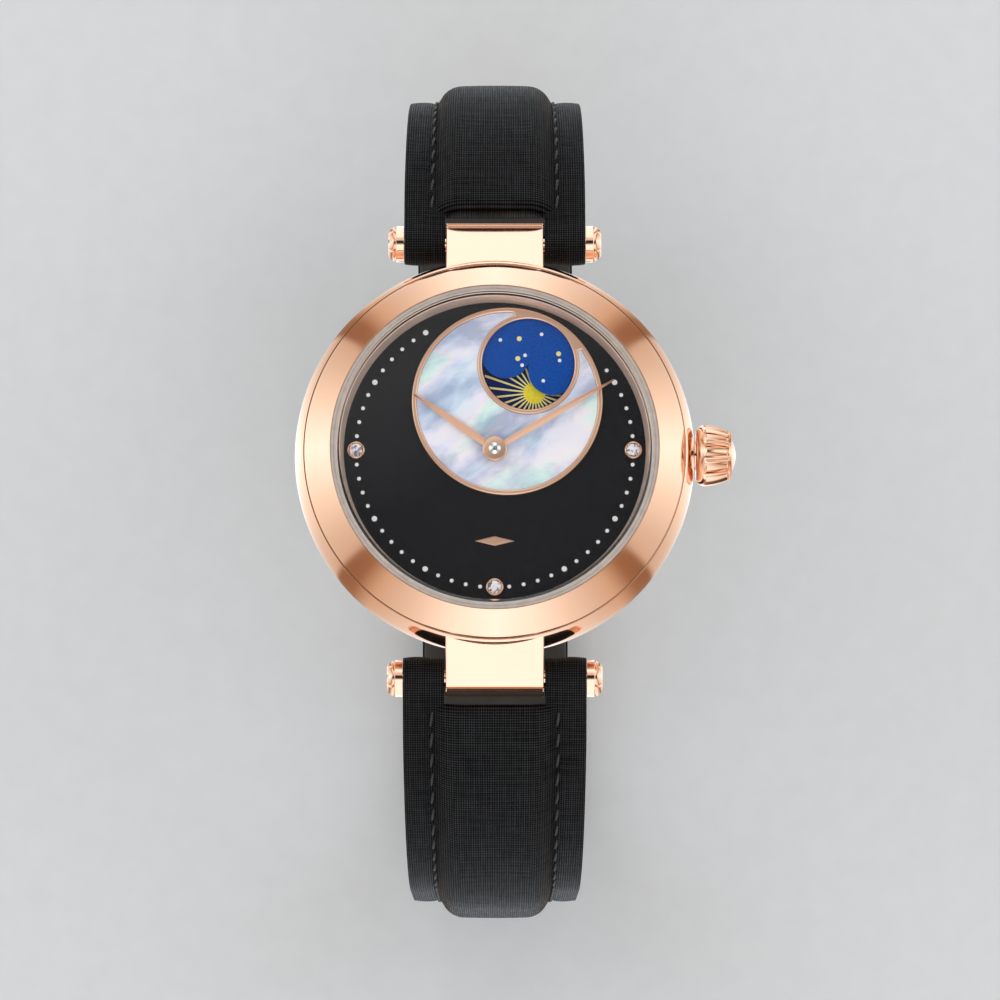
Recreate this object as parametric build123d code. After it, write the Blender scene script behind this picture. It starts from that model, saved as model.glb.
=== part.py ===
from build123d import *
import math
import os

os.makedirs("parts", exist_ok=True)

# A moon phase wristwatch, 12 o'clock towards +Y, crown towards +X, dial upwards.
# It is drawn with the dial face at height zero, and lifted when it is written,
# so that the strap's lowest run lies on the table at height zero.

# shared fits and cutting allowance
overrun = 1.0
slip_fit = 0.05
hand_gap = 0.1
clear_gap = 0.3

# case band
case_radius = 17.5
case_top_inset = 0.7
case_back_inset = 1.55
case_top = 0.35
case_widest_depth = 2.5
case_back_depth = 6.1
bore_inset = 2.9
bezel_seat_inset = 1.6
bezel_seat_depth = 0.6

# bezel and crystal
bezel_outer_inset = 0.9
bezel_inner_inset = 3.2
bezel_edge_height = 0.5
bezel_rim_height = 2.5
bezel_crown_height = 0.28
bezel_lip_inset = 3.9
bezel_tenon_inset = 3.0
crystal_ledge_height = 1.4
crystal_inset = 3.5
crystal_edge_height = 2.3
crystal_bevel_inset = 4.0
crystal_bevel_height = 2.72
crystal_top_height = 3.0
gasket_height = 2.35
flange_inner_inset = 4.35
flange_top_inset = 4.2
flange_height = 1.35

# lugs and their screw bars
lug_width = 8.53
lug_root_sink = 0.95
lug_top_sink = 0.4
lug_top_height = 0.3
lug_edge_bevel = 0.28
knuckle_radius = 1.6
knuckle_top_angle = 35.0
pin_from_case = 1.9
pin_depth = 4.3
bar_radius = 0.75
bar_thread_radius = 0.5
bar_thread_length = 0.9
head_reach = 1.5
collar_radius = 1.45
collar_length = 0.45
neck_radius = 1.2
neck_length = 0.16
head_radius = 1.6
head_dome = 0.4
slot_width = 0.32
slot_depth = 0.3
flute_count = 10
flute_width = 0.3

# strap
strap_width = 16.0
strap_taper_loss = 2.0
strap_foot_depth = 46.0
shell_thickness = 1.7
lining_thickness = 0.7
lining_gap = 0.02
lining_inset = 0.25
ear_radius = 1.8
ear_side_gap = 0.12
ear_heading = 15.0
notch_radius = 1.9
strap_lead = 1.2
upper_bend_radius = 20.3
lower_bend_radius_6 = 22.0
upright_length_6 = 7.0
run_length_6 = 30.0
lower_bend_radius_12 = 16.0
run_length_12 = 12.5
cheek_length = 4.0
pad_height = 1.5
pad_base_width = 10.6
pad_top_width = 8.8
pad_sink = 0.5
pad_fade = 1.65
tip_round = 5.0
hole_radius = 0.8
hole_count = 5
hole_pitch = 5.0
first_hole_from_tip = 8.0

# keepers
keeper_wall = 0.9
keeper_length = 3.0
keeper_side_gap = 0.15
keeper_top_gap = 0.08
keeper_room = 2.6
fixed_keeper_from_bar = 3.0
free_keeper_from_bar = 7.6

# buckle
buckle_bar_radius = 0.5
buckle_bar_end_gap = 0.3
frame_side_gap = 0.6
frame_arm_width = 1.5
frame_thickness = 1.8
frame_reach = 14.6
frame_far_bar = 2.1
frame_corner_round = 2.4
frame_edge_bevel = 0.3
tang_width = 1.6
tang_eye_radius = 1.0
tang_thickness = 0.85
tang_overhang = 0.5
tang_slot_side_gap = 0.3
tang_slot_length = 3.0

# dial and its crescent
dial_inset = 3.1
dial_thickness = 0.5
dial_hole_radius = 0.85
big_circle_distance = 4.465
big_circle_clock_angle = 14.1
big_circle_radius = 8.31
big_circle_rim = 0.42
aperture_distance = 8.145
aperture_clock_angle = 21.05
aperture_radius = 4.03
aperture_rim = 0.4
crescent_frame_height = 0.28
pearl_bottom = 0.02
pearl_top = 0.12
pearl_gap = 0.02
cover_seat_depth = 0.25
cover_thickness = 0.12
cover_margin = 0.08
cover_ledge = 0.1
lobe_radius = 2.17
lobe_distance = 2.2
lobe_spread_angle = 96.6
opening_direction = 250.0
gem_inset = 5.45
gem_cup_radius = 0.75
gem_seat_radius = 0.6
gem_cup_height = 0.3
gem_radius = 0.57
gem_table_radius = 0.32
gem_girdle_height = 0.22
gem_table_height = 0.4
gem_point_height = 0.04
gem_sides = 8
gem_directions = (0, 180, 270)
lozenge_distance = 8.0
lozenge_half_length = 1.7
lozenge_half_width = 0.42
lozenge_height = 0.22

# hands
hour_hand_length = 8.6
hour_hand_clock_angle = 305.0
hour_hand_half_width = 0.33
hour_hand_bottom = 0.42
minute_hand_length = 12.0
minute_hand_clock_angle = 59.5
minute_hand_half_width = 0.3
minute_hand_bottom = 0.8
hand_ridge_height = 0.2
hand_tip_half_width = 0.07
hand_root_half_width = 0.16
hand_widest_share = 0.45
hub_radius = 1.06
hub_height = 0.3
cap_radius = 0.52
cap_seat = 0.08
cap_top_height = 1.33

# gears behind the dial
motion_module = 0.14
hour_module = 0.112
cannon_teeth = 10
minute_wheel_teeth = 30
minute_pinion_teeth = 10
hour_wheel_teeth = 40
day_gear_teeth = 30
disc_wheel_teeth = 60
minute_wheel_direction = 270.0
addendum_share = 0.85
dedendum_share = 1.2
tooth_root_share = 0.62
tooth_tip_share = 0.26
wheel_thickness = 0.35
day_plane_depth = 0.85
hour_plane_depth = 1.4
minute_plane_depth = 1.95
post_radius = 0.22
pipe_radius = 0.42
hour_pipe_radius = 0.72
minute_arbor_radius = 0.2
disc_arbor_radius = 0.4
disc_top_depth = 0.6
disc_thickness = 0.12
disc_margin = 0.85

# movement
ring_inner_inset = 3.6
ring_outer_inset = 3.0
ring_step_inset = 4.15
ring_bottom_depth = 5.2
plate_top_depth = 1.3
plate_bottom_depth = 3.6
plate_edge_gap = 0.05
pocket_radius = 5.4
pocket_floor_depth = 2.35
bridge_radius = 10.4
bridge_bottom_depth = 4.8
bridge_gap = 0.35
balance_x = -5.2
balance_y = -4.6
balance_clear_radius = 4.4
balance_radius = 3.6
balance_rim_width = 0.4
balance_arm_width = 0.5
balance_top_depth = 3.95
balance_bottom_depth = 4.2
balance_staff_radius = 0.18
cock_width = 2.6
cock_top_depth = 4.45
cock_foot_distance = 5.0
cock_direction = 225.0
rotor_inset = 4.4
rotor_rim_inset = 6.5
rotor_rim_top_depth = 4.95
rotor_rim_bottom_depth = 5.95
rotor_web_top_depth = 5.3
rotor_web_bottom_depth = 5.6
rotor_hub_radius = 2.3
rotor_half_angle = 82.0
bearing_radius = 1.25
bearing_bottom_depth = 5.8
ratchet_teeth = 36
crown_wheel_teeth = 24
winding_module = 0.2
winding_wheel_thickness = 0.3
ratchet_x = -0.5
ratchet_y = 6.3
winding_direction = -25.0
winding_arbor_radius = 0.6

# crown and stem
stem_depth = 2.25
stem_radius = 0.4
stem_end_inset = 8.2
tube_outer_radius = 1.3
tube_neck_radius = 1.0
tube_bore_radius = 0.5
tube_neck_reach = 2.0
tube_end_inset = 2.3
crown_gap = 0.1
crown_back_radius = 1.55
crown_shoulder_reach = 0.8
crown_shoulder_radius = 2.7
crown_front_reach = 3.15
crown_front_radius = 2.08
crown_cap_radius = 1.58
crown_end_reach = 3.6
crown_cavity_radius = 1.35
crown_cavity_reach = 2.35
crown_rib_count = 10
crown_panel_angle = 17.0
crown_panel_depth = 0.32
crown_panel_margin = 0.28
crown_gasket_reach = 0.5
crown_gasket_length = 0.5
crown_gasket_gap = 0.03
clutch_inset = 7.9
clutch_length = 1.0
clutch_teeth = 12
clutch_module = 0.16

# correctors in the flank
corrector_radius = 0.5
corrector_clock_angle = 24.0
corrector_depth = 1.9
corrector_recess = 0.12
corrector_length = 1.7

# case back
back_inset = 1.65
back_bottom_depth = 7.1
back_edge_bevel = 0.25
back_neck_inner_inset = 4.1
back_neck_outer_inset = 3.3
back_neck_top_depth = 5.35
back_window_inset = 6.0
back_glass_inset = 5.45
back_glass_top_depth = 6.15
back_glass_bottom_depth = 6.75
back_gasket_top_depth = 5.8
back_screw_count = 6
back_screw_inset = 2.4
back_screw_radius = 0.35
back_screw_head_radius = 0.5
back_screw_head_height = 0.3
back_screw_top_depth = 5.2
back_screw_slot_width = 0.16
back_screw_slot_depth = 0.1


# sizes that follow from the ones above
case_top_radius = case_radius - case_top_inset
case_back_radius = case_radius - case_back_inset
bore_radius = case_radius - bore_inset
bezel_seat_radius = case_radius - bezel_seat_inset
bezel_outer_radius = case_radius - bezel_outer_inset
bezel_inner_radius = case_radius - bezel_inner_inset
bezel_lip_radius = case_radius - bezel_lip_inset
bezel_tenon_radius = case_radius - bezel_tenon_inset
crystal_radius = case_radius - crystal_inset
crystal_bevel_radius = case_radius - crystal_bevel_inset
flange_inner_radius = case_radius - flange_inner_inset
flange_top_inner_radius = case_radius - flange_top_inset
dial_radius = case_radius - dial_inset
gem_distance = case_radius - gem_inset
ring_inner_radius = case_radius - ring_inner_inset
ring_outer_radius = case_radius - ring_outer_inset
ring_step_radius = case_radius - ring_step_inset
rotor_radius = case_radius - rotor_inset
rotor_rim_inner_radius = case_radius - rotor_rim_inset
stem_inner_end = case_radius - stem_end_inset
tube_collar_end = case_radius
tube_neck_end = case_radius + tube_neck_reach
tube_inner_end = case_radius - tube_end_inset
crown_start = case_radius + crown_gap
crown_shoulder = case_radius + crown_shoulder_reach
crown_front = case_radius + crown_front_reach
crown_end = case_radius + crown_end_reach
crown_cavity_end = case_radius + crown_cavity_reach
crown_gasket_start = case_radius + crown_gasket_reach
clutch_start = case_radius - clutch_inset
back_radius = case_radius - back_inset
back_neck_inner_radius = case_radius - back_neck_inner_inset
back_neck_outer_radius = case_radius - back_neck_outer_inset
back_window_radius = case_radius - back_window_inset
back_glass_radius = case_radius - back_glass_inset
back_screw_distance = case_radius - back_screw_inset
pin_distance = case_radius + pin_from_case
lug_root_distance = case_back_radius - lug_root_sink
lug_top_start = bezel_outer_radius - lug_top_sink
bar_end = strap_width / 2 + head_reach
strap_foot_width = strap_width - strap_taper_loss
frame_inner_width = strap_foot_width + 2 * frame_side_gap
heading = math.radians(ear_heading)
strap_thickness = shell_thickness + lining_gap + lining_thickness
path_drop_6 = (
    strap_lead * math.sin(heading)
    + upper_bend_radius * math.cos(heading)
    + upright_length_6
    + lower_bend_radius_6
)
dial_height = path_drop_6 + pin_depth - ear_radius * math.cos(heading)
upper_centre_y = (
    pin_distance
    + (ear_radius - upper_bend_radius) * math.sin(heading)
    + strap_lead * math.cos(heading)
)
upper_centre_z = (
    (ear_radius - upper_bend_radius) * math.cos(heading)
    - pin_depth
    - strap_lead * math.sin(heading)
)


def save(name, shape):
    export_step(Pos(0, 0, dial_height) * shape, f"parts/{name}.step")


def polar(radius, degrees):
    angle = math.radians(degrees)
    return radius * math.cos(angle), radius * math.sin(angle)


def clock_polar(radius, clock_degrees):
    return polar(radius, 90 - clock_degrees)


def disc(radius, low, high, x=0, y=0):
    return extrude(Pos(x, y, low) * Circle(radius), high - low)


def annulus(inner, outer, low, high, x=0, y=0):
    return extrude(Pos(x, y, low) * (Circle(outer) - Circle(inner)), high - low)


def turned(points):
    corners = [(radius, 0, height) for radius, height in points]
    return revolve(make_face(Polyline(*corners, close=True)), Axis.Z)


def turned_on_x(points):
    corners = [(place, radius, 0) for place, radius in points]
    return revolve(make_face(Polyline(*corners, close=True)), Axis.X)


def rod_on_x(radius, start, end, y=0, z=0):
    return Pos(start, y, z) * Rot(0, 90, 0) * extrude(Circle(radius), end - start)


def slab(x_low, x_high, y_low, y_high, z_low, z_high):
    size = (x_high - x_low, y_high - y_low, z_high - z_low)
    centre = ((x_high + x_low) / 2, (y_high + y_low) / 2, (z_high + z_low) / 2)
    return Pos(*centre) * Box(*size)


def gear_face(teeth, module, phase):
    pitch_radius = teeth * module / 2
    root = pitch_radius - dedendum_share * module
    tip = pitch_radius + addendum_share * module
    step = 360 / teeth
    outline = []
    for number in range(teeth):
        middle = phase + number * step
        outline.append(polar(root, middle - tooth_root_share * step / 2))
        outline.append(polar(tip, middle - tooth_tip_share * step / 2))
        outline.append(polar(tip, middle + tooth_tip_share * step / 2))
        outline.append(polar(root, middle + tooth_root_share * step / 2))
    return make_face(Polyline(*outline, close=True))


def gear(teeth, module, phase, top_depth, thickness, x=0, y=0):
    face = Pos(x, y, -top_depth - thickness) * gear_face(teeth, module, phase)
    return extrude(face, thickness, dir=(0, 0, 1))


# places of the gears and of the aperture
motion_distance = (cannon_teeth + minute_wheel_teeth) * motion_module / 2
day_module = 2 * aperture_distance / (day_gear_teeth + disc_wheel_teeth)
big_x, big_y = clock_polar(big_circle_distance, big_circle_clock_angle)
aperture_x, aperture_y = clock_polar(aperture_distance, aperture_clock_angle)
minute_x, minute_y = polar(motion_distance, minute_wheel_direction)
aperture_direction = 90 - aperture_clock_angle


def lug():
    pin_z = -pin_depth
    touch_y, touch_z = polar(knuckle_radius, knuckle_top_angle)
    touch = (0, pin_distance + touch_y, pin_z + touch_z)
    tip = (0, pin_distance + knuckle_radius, pin_z)
    under = (0, pin_distance, pin_z - knuckle_radius)
    start = (0, lug_top_start, lug_top_height)
    rise = math.radians(knuckle_top_angle)
    tangent = (0, -math.sin(rise), math.cos(rise))
    edges = [
        TangentArc(touch, start, tangent=tangent),
        ThreePointArc(touch, tip, under),
        Polyline(
            under,
            (0, lug_root_distance, -case_back_depth),
            (0, lug_root_distance, lug_top_height),
            start,
        ),
    ]
    body = extrude(make_face(edges), lug_width / 2, both=True)
    rims = [
        edge
        for edge in body.edges().filter_by(GeomType.CIRCLE)
        if abs(abs(edge.center().X) - lug_width / 2) < lug_edge_bevel
    ]
    return chamfer(rims, lug_edge_bevel)


def corrector_axis(side):
    x, y = clock_polar(case_radius, side * corrector_clock_angle)
    return Plane(
        origin=(x, y, -corrector_depth),
        x_dir=(0, 0, 1),
        z_dir=(-x, -y, 0),
    )


def case_body():
    top = (case_top_radius, 0, case_top)
    widest = (case_radius, 0, -case_widest_depth)
    foot = (case_back_radius, 0, -case_back_depth)
    edges = [
        TangentArc(widest, top, tangent=(0, 0, 1)),
        TangentArc(widest, foot, tangent=(0, 0, -1)),
        Polyline(
            foot,
            (bore_radius, 0, -case_back_depth),
            (bore_radius, 0, -bezel_seat_depth),
            (bezel_seat_radius, 0, -bezel_seat_depth),
            (bezel_seat_radius, 0, case_top),
            top,
        ),
    ]
    body = revolve(make_face(edges), Axis.Z)
    arm = lug() - disc(bezel_seat_radius, -bezel_seat_depth, case_top + overrun)
    body = body + arm + Rot(0, 0, 180) * arm
    for side in (1, -1):
        body = body - rod_on_x(
            bar_radius + slip_fit,
            -lug_width,
            lug_width,
            side * pin_distance,
            -pin_depth,
        )
        mouth = corrector_axis(side).offset(-overrun)
        body = body - extrude(
            mouth * Circle(corrector_radius + slip_fit),
            case_radius - bore_radius + 2 * overrun,
        )
    body = body - rod_on_x(
        tube_outer_radius, bore_radius - overrun, case_radius + overrun, 0, -stem_depth
    )
    for number in range(back_screw_count):
        x, y = polar(back_screw_distance, screw_angle(number))
        body = body - disc(
            back_screw_radius,
            -case_back_depth - overrun,
            -back_screw_top_depth + slip_fit,
            x,
            y,
        )
    return body


def screw_angle(number):
    return (number + 0.5) * 360 / back_screw_count


def bezel():
    outer = (bezel_outer_radius, 0, bezel_edge_height)
    rim = (bezel_inner_radius, 0, bezel_rim_height)
    middle = (
        (bezel_outer_radius + bezel_inner_radius) / 2,
        0,
        (bezel_edge_height + bezel_rim_height) / 2 + bezel_crown_height,
    )
    tenon = bezel_seat_radius - slip_fit
    edges = [
        ThreePointArc(outer, middle, rim),
        Polyline(
            rim,
            (bezel_inner_radius, 0, crystal_ledge_height),
            (bezel_lip_radius, 0, crystal_ledge_height),
            (bezel_lip_radius, 0, slip_fit),
            (bezel_tenon_radius, 0, slip_fit),
            (bezel_tenon_radius, 0, -bezel_seat_depth),
            (tenon, 0, -bezel_seat_depth),
            (tenon, 0, bezel_edge_height),
            outer,
        ),
    ]
    return revolve(make_face(edges), Axis.Z)


def crystal():
    bevel = (crystal_bevel_radius, 0, crystal_bevel_height)
    crest = (0, 0, crystal_top_height)
    mirrored = (-crystal_bevel_radius, 0, crystal_bevel_height)
    dome = ThreePointArc(bevel, crest, mirrored)
    half = dome.trim(0, 0.5)
    edges = [
        half,
        Polyline(
            crest,
            (0, 0, crystal_ledge_height),
            (crystal_radius, 0, crystal_ledge_height),
            (crystal_radius, 0, crystal_edge_height),
            bevel,
        ),
    ]
    return revolve(make_face(edges), Axis.Z)


def flange_ring():
    outer = bezel_lip_radius - slip_fit
    return turned(
        [
            (flange_inner_radius, 0),
            (outer, 0),
            (outer, flange_height),
            (flange_top_inner_radius, flange_height),
        ]
    )


def dial_plate():
    plate = disc(dial_radius, -dial_thickness, 0)
    plate = plate - disc(dial_hole_radius, -dial_thickness, 0)
    seat = disc(aperture_radius + cover_margin, -cover_seat_depth, 0, aperture_x, aperture_y)
    window = disc(
        aperture_radius - cover_ledge, -dial_thickness, 0, aperture_x, aperture_y
    )
    return plate - seat - window


def crescent_frame():
    rim = Pos(big_x, big_y) * (
        Circle(big_circle_radius) - Circle(big_circle_radius - big_circle_rim)
    )
    ring = Pos(aperture_x, aperture_y) * Circle(aperture_radius + aperture_rim)
    window = Pos(aperture_x, aperture_y) * Circle(aperture_radius)
    return extrude(rim + ring - window, crescent_frame_height)


def pearl_crescent():
    field = Pos(big_x, big_y) * Circle(big_circle_radius - big_circle_rim - pearl_gap)
    bite = Pos(aperture_x, aperture_y) * Circle(aperture_radius + aperture_rim + pearl_gap)
    face = field - bite - Circle(dial_hole_radius)
    return extrude(Pos(0, 0, pearl_bottom) * face, pearl_top - pearl_bottom)


def star_cover():
    plate = Circle(aperture_radius + cover_margin - pearl_gap)
    reach = 2 * aperture_radius
    line = lobe_distance * math.cos(math.radians(lobe_spread_angle))
    opening = Pos(line + reach / 2, 0) * Rectangle(reach, 2 * reach)
    for side in (1, -1):
        x, y = polar(lobe_distance, side * lobe_spread_angle)
        opening = opening - Pos(x, y) * Circle(lobe_radius)
    face = Rot(0, 0, opening_direction) * (plate - opening)
    low = -cover_seat_depth
    return extrude(Pos(aperture_x, aperture_y, low) * face, cover_thickness)


def gem_cups():
    cups = []
    for direction in gem_directions:
        x, y = polar(gem_distance, direction)
        cups.append(annulus(gem_seat_radius, gem_cup_radius, 0, gem_cup_height, x, y))
    return Compound(children=cups)


def gems():
    stones = []
    girdle = RegularPolygon(gem_radius, gem_sides)
    table = RegularPolygon(gem_table_radius, gem_sides)
    point = RegularPolygon(gem_point_height, gem_sides)
    for direction in gem_directions:
        x, y = polar(gem_distance, direction)
        place = Pos(x, y)
        lower = loft(
            [place * point, place * Pos(0, 0, gem_girdle_height) * girdle], ruled=True
        )
        upper = loft(
            [
                place * Pos(0, 0, gem_girdle_height) * girdle,
                place * Pos(0, 0, gem_table_height) * table,
            ],
            ruled=True,
        )
        stones.append(lower + upper)
    return Compound(children=stones)


def dial_lozenge():
    corners = [
        (lozenge_half_length, 0),
        (0, lozenge_half_width),
        (-lozenge_half_length, 0),
        (0, -lozenge_half_width),
    ]
    face = Pos(0, -lozenge_distance) * make_face(Polyline(*corners, close=True))
    return extrude(face, lozenge_height)


def hand(length, half_width, bottom, clock_angle, bore):
    widest = hand_widest_share * length
    root = (hand_root_half_width, 0)
    tip = (hand_tip_half_width, length)
    left_root = (-hand_root_half_width, 0)
    left_tip = (-hand_tip_half_width, length)
    edges = [
        ThreePointArc(root, (half_width, widest), tip),
        Line(tip, left_tip),
        ThreePointArc(left_tip, (-half_width, widest), left_root),
        Line(left_root, root),
    ]
    leaf = extrude(make_face(edges), hand_ridge_height)
    eave = half_width + slip_fit
    roof = make_face(
        Polyline(
            (-eave, 0, 0),
            (eave, 0, 0),
            (0, 0, hand_ridge_height),
            close=True,
        )
    )
    leaf = leaf & extrude(roof, length, dir=(0, 1, 0))
    body = leaf + disc(hub_radius, 0, hub_height)
    body = body - disc(bore, -overrun, hub_height + overrun)
    return Pos(0, 0, bottom) * Rot(0, 0, -clock_angle) * body


def hour_hand():
    return hand(
        hour_hand_length,
        hour_hand_half_width,
        hour_hand_bottom,
        hour_hand_clock_angle,
        hour_pipe_radius,
    )


def minute_hand():
    return hand(
        minute_hand_length,
        minute_hand_half_width,
        minute_hand_bottom,
        minute_hand_clock_angle,
        pipe_radius,
    )


def hand_cap():
    low = minute_hand_bottom + hub_height
    dome = (cap_radius, 0, low + cap_seat)
    crest = (0, 0, cap_top_height)
    mirrored = (-cap_radius, 0, low + cap_seat)
    half = ThreePointArc(dome, crest, mirrored).trim(0, 0.5)
    edges = [
        half,
        Polyline(crest, (0, 0, low), (cap_radius, 0, low), dome),
    ]
    return revolve(make_face(edges), Axis.Z)


def cannon_pinion():
    body = gear(
        cannon_teeth,
        motion_module,
        minute_wheel_direction,
        minute_plane_depth,
        wheel_thickness,
    )
    body = body + disc(pipe_radius, -minute_plane_depth, minute_hand_bottom + hub_height)
    top = minute_hand_bottom
    return body - disc(post_radius + slip_fit, -minute_plane_depth - overrun, top)


def minute_wheel():
    face_direction = minute_wheel_direction + 180
    wheel = gear(
        minute_wheel_teeth,
        motion_module,
        face_direction + 180 / minute_wheel_teeth,
        minute_plane_depth,
        wheel_thickness,
        minute_x,
        minute_y,
    )
    pinion_height = minute_plane_depth - hour_plane_depth
    pinion = gear(
        minute_pinion_teeth,
        hour_module,
        face_direction,
        hour_plane_depth,
        pinion_height,
        minute_x,
        minute_y,
    )
    low = -minute_plane_depth - wheel_thickness - overrun
    bore = disc(minute_arbor_radius + slip_fit, low, overrun, minute_x, minute_y)
    return wheel + pinion - bore


def hour_wheel():
    wheel = gear(
        hour_wheel_teeth,
        hour_module,
        minute_wheel_direction + 180 / hour_wheel_teeth,
        hour_plane_depth,
        wheel_thickness,
    )
    day = gear(
        day_gear_teeth,
        day_module,
        aperture_direction,
        day_plane_depth,
        wheel_thickness,
    )
    low = -hour_plane_depth - wheel_thickness
    pipe = disc(hour_pipe_radius, low, hour_hand_bottom + hub_height)
    bore = disc(pipe_radius + slip_fit, low - overrun, hour_hand_bottom + overrun)
    return wheel + day + pipe - bore


def disc_wheel():
    wheel = gear(
        disc_wheel_teeth,
        day_module,
        aperture_direction + 180 + 180 / disc_wheel_teeth,
        day_plane_depth,
        wheel_thickness,
        aperture_x,
        aperture_y,
    )
    low = -day_plane_depth - wheel_thickness - overrun
    high = -disc_top_depth - disc_thickness
    boss = disc(
        disc_arbor_radius * 2, -day_plane_depth - wheel_thickness, high, aperture_x, aperture_y
    )
    bore = disc(disc_arbor_radius + slip_fit, low, overrun, aperture_x, aperture_y)
    return wheel + boss - bore


def sun_moon_disc():
    high = -disc_top_depth
    return disc(aperture_radius + disc_margin, high - disc_thickness, high, aperture_x, aperture_y)


def movement_ring():
    ring = turned(
        [
            (ring_inner_radius, -dial_thickness),
            (ring_outer_radius, -dial_thickness),
            (ring_outer_radius, -ring_bottom_depth),
            (ring_step_radius, -ring_bottom_depth),
            (ring_step_radius, -plate_bottom_depth),
            (ring_inner_radius, -plate_bottom_depth),
        ]
    )
    hole = rod_on_x(
        tube_bore_radius + slip_fit, ring_step_radius - overrun, bore_radius, 0, -stem_depth
    )
    return ring - hole


def main_plate():
    plate = disc(ring_inner_radius - plate_edge_gap, -plate_bottom_depth, -plate_top_depth)
    pocket = disc(pocket_radius, -pocket_floor_depth, -plate_top_depth, 0, minute_y / 2)
    plate = plate - pocket
    clutch_room = clutch_teeth * clutch_module / 2 + addendum_share * clutch_module
    side = clutch_room + clear_gap
    plate = plate - slab(
        stem_inner_end - slip_fit,
        clutch_start + clutch_length + hand_gap,
        -side,
        side,
        -plate_bottom_depth,
        -plate_top_depth,
    )
    plate = plate - rod_on_x(
        stem_radius + slip_fit, stem_inner_end, ring_outer_radius, 0, -stem_depth
    )
    floor = -pocket_floor_depth
    plate = plate + disc(post_radius, floor, minute_hand_bottom - hand_gap)
    plate = plate + disc(minute_arbor_radius, floor, -hour_plane_depth + hand_gap, minute_x, minute_y)
    stud_top = -disc_top_depth - disc_thickness - hand_gap
    plate = plate + disc(disc_arbor_radius, -plate_top_depth, stud_top, aperture_x, aperture_y)
    return plate


def bridge_blank():
    blank = disc(bridge_radius, -bridge_bottom_depth, -plate_bottom_depth)
    return blank - disc(
        balance_clear_radius, -bridge_bottom_depth, -plate_bottom_depth, balance_x, balance_y
    )


def barrel_bridge():
    reach = bridge_radius
    keep = slab(-reach, reach, bridge_gap + bearing_radius, reach, -bridge_bottom_depth, 0)
    bridge = bridge_blank() & keep
    side = clutch_teeth * clutch_module
    bridge = bridge - slab(
        clutch_start - side, reach, -side, side, -bridge_bottom_depth, -plate_bottom_depth
    )
    for x, y in (ratchet_place(), crown_wheel_place()):
        top = -bridge_bottom_depth
        low = top - winding_wheel_thickness - hand_gap
        bridge = bridge + disc(winding_arbor_radius, low, top, x, y)
    return bridge


def train_bridge():
    reach = bridge_radius
    keep = slab(-reach, reach, -reach, bearing_radius, -bridge_bottom_depth, 0)
    return bridge_blank() & keep


def balance_cock():
    foot_x, foot_y = polar(cock_foot_distance, cock_direction)
    foot_x = foot_x + balance_x
    foot_y = foot_y + balance_y
    arm = Rot(0, 0, cock_direction) * Pos(cock_foot_distance / 2, 0) * SlotCenterToCenter(
        cock_foot_distance, cock_width
    )
    arm = extrude(
        Pos(balance_x, balance_y, -bridge_bottom_depth) * arm,
        bridge_bottom_depth - cock_top_depth,
    )
    foot = disc(cock_width / 2, -bridge_bottom_depth, -plate_bottom_depth, foot_x, foot_y)
    foot = foot - disc(
        balance_radius + clear_gap, -cock_top_depth, -plate_bottom_depth, balance_x, balance_y
    )
    return arm + foot


def balance_wheel():
    inner = balance_radius - balance_rim_width
    low = -balance_bottom_depth
    high = -balance_top_depth
    arm = Rectangle(2 * inner + balance_rim_width, balance_arm_width)
    face = Circle(balance_radius) - Circle(inner) + arm
    wheel = extrude(Pos(balance_x, balance_y, low) * face, high - low)
    staff = disc(
        balance_staff_radius,
        -cock_top_depth + slip_fit,
        -plate_bottom_depth - slip_fit,
        balance_x,
        balance_y,
    )
    return wheel + staff


def rotor_weight():
    def sector(radius):
        start = polar(radius, -90 - rotor_half_angle)
        end = polar(radius, -90 + rotor_half_angle)
        arc = ThreePointArc(start, (0, -radius), end)
        return make_face([arc, Line(end, (0, 0)), Line((0, 0), start)])

    rim_face = sector(rotor_radius) - Circle(rotor_rim_inner_radius)
    rim = extrude(
        Pos(0, 0, -rotor_rim_bottom_depth) * rim_face,
        rotor_rim_bottom_depth - rotor_rim_top_depth,
        dir=(0, 0, 1),
    )
    web_face = sector(rotor_rim_inner_radius + overrun) + Circle(rotor_hub_radius)
    web_face = web_face - Circle(bearing_radius + slip_fit)
    web = extrude(
        Pos(0, 0, -rotor_web_bottom_depth) * web_face,
        rotor_web_bottom_depth - rotor_web_top_depth,
        dir=(0, 0, 1),
    )
    return rim + web


def rotor_bearing():
    flange = bearing_radius + clear_gap
    return turned(
        [
            (0, -bridge_bottom_depth),
            (bearing_radius, -bridge_bottom_depth),
            (bearing_radius, -rotor_web_bottom_depth - slip_fit),
            (flange, -rotor_web_bottom_depth - slip_fit),
            (flange, -bearing_bottom_depth),
            (0, -bearing_bottom_depth),
        ]
    )


def ratchet_place():
    return ratchet_x, ratchet_y


def crown_wheel_place():
    distance = (ratchet_teeth + crown_wheel_teeth) * winding_module / 2
    x, y = polar(distance, winding_direction)
    return ratchet_x + x, ratchet_y + y


def winding_gear(teeth, phase, place):
    x, y = place
    body = gear(
        teeth,
        winding_module,
        phase,
        bridge_bottom_depth + slip_fit,
        winding_wheel_thickness,
        x,
        y,
    )
    low = -bridge_bottom_depth - 2 * overrun
    return body - disc(winding_arbor_radius + slip_fit, low, 0, x, y)


def ratchet_wheel():
    return winding_gear(ratchet_teeth, winding_direction, ratchet_place())


def crown_wheel():
    phase = winding_direction + 180 + 180 / crown_wheel_teeth
    return winding_gear(crown_wheel_teeth, phase, crown_wheel_place())


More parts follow.
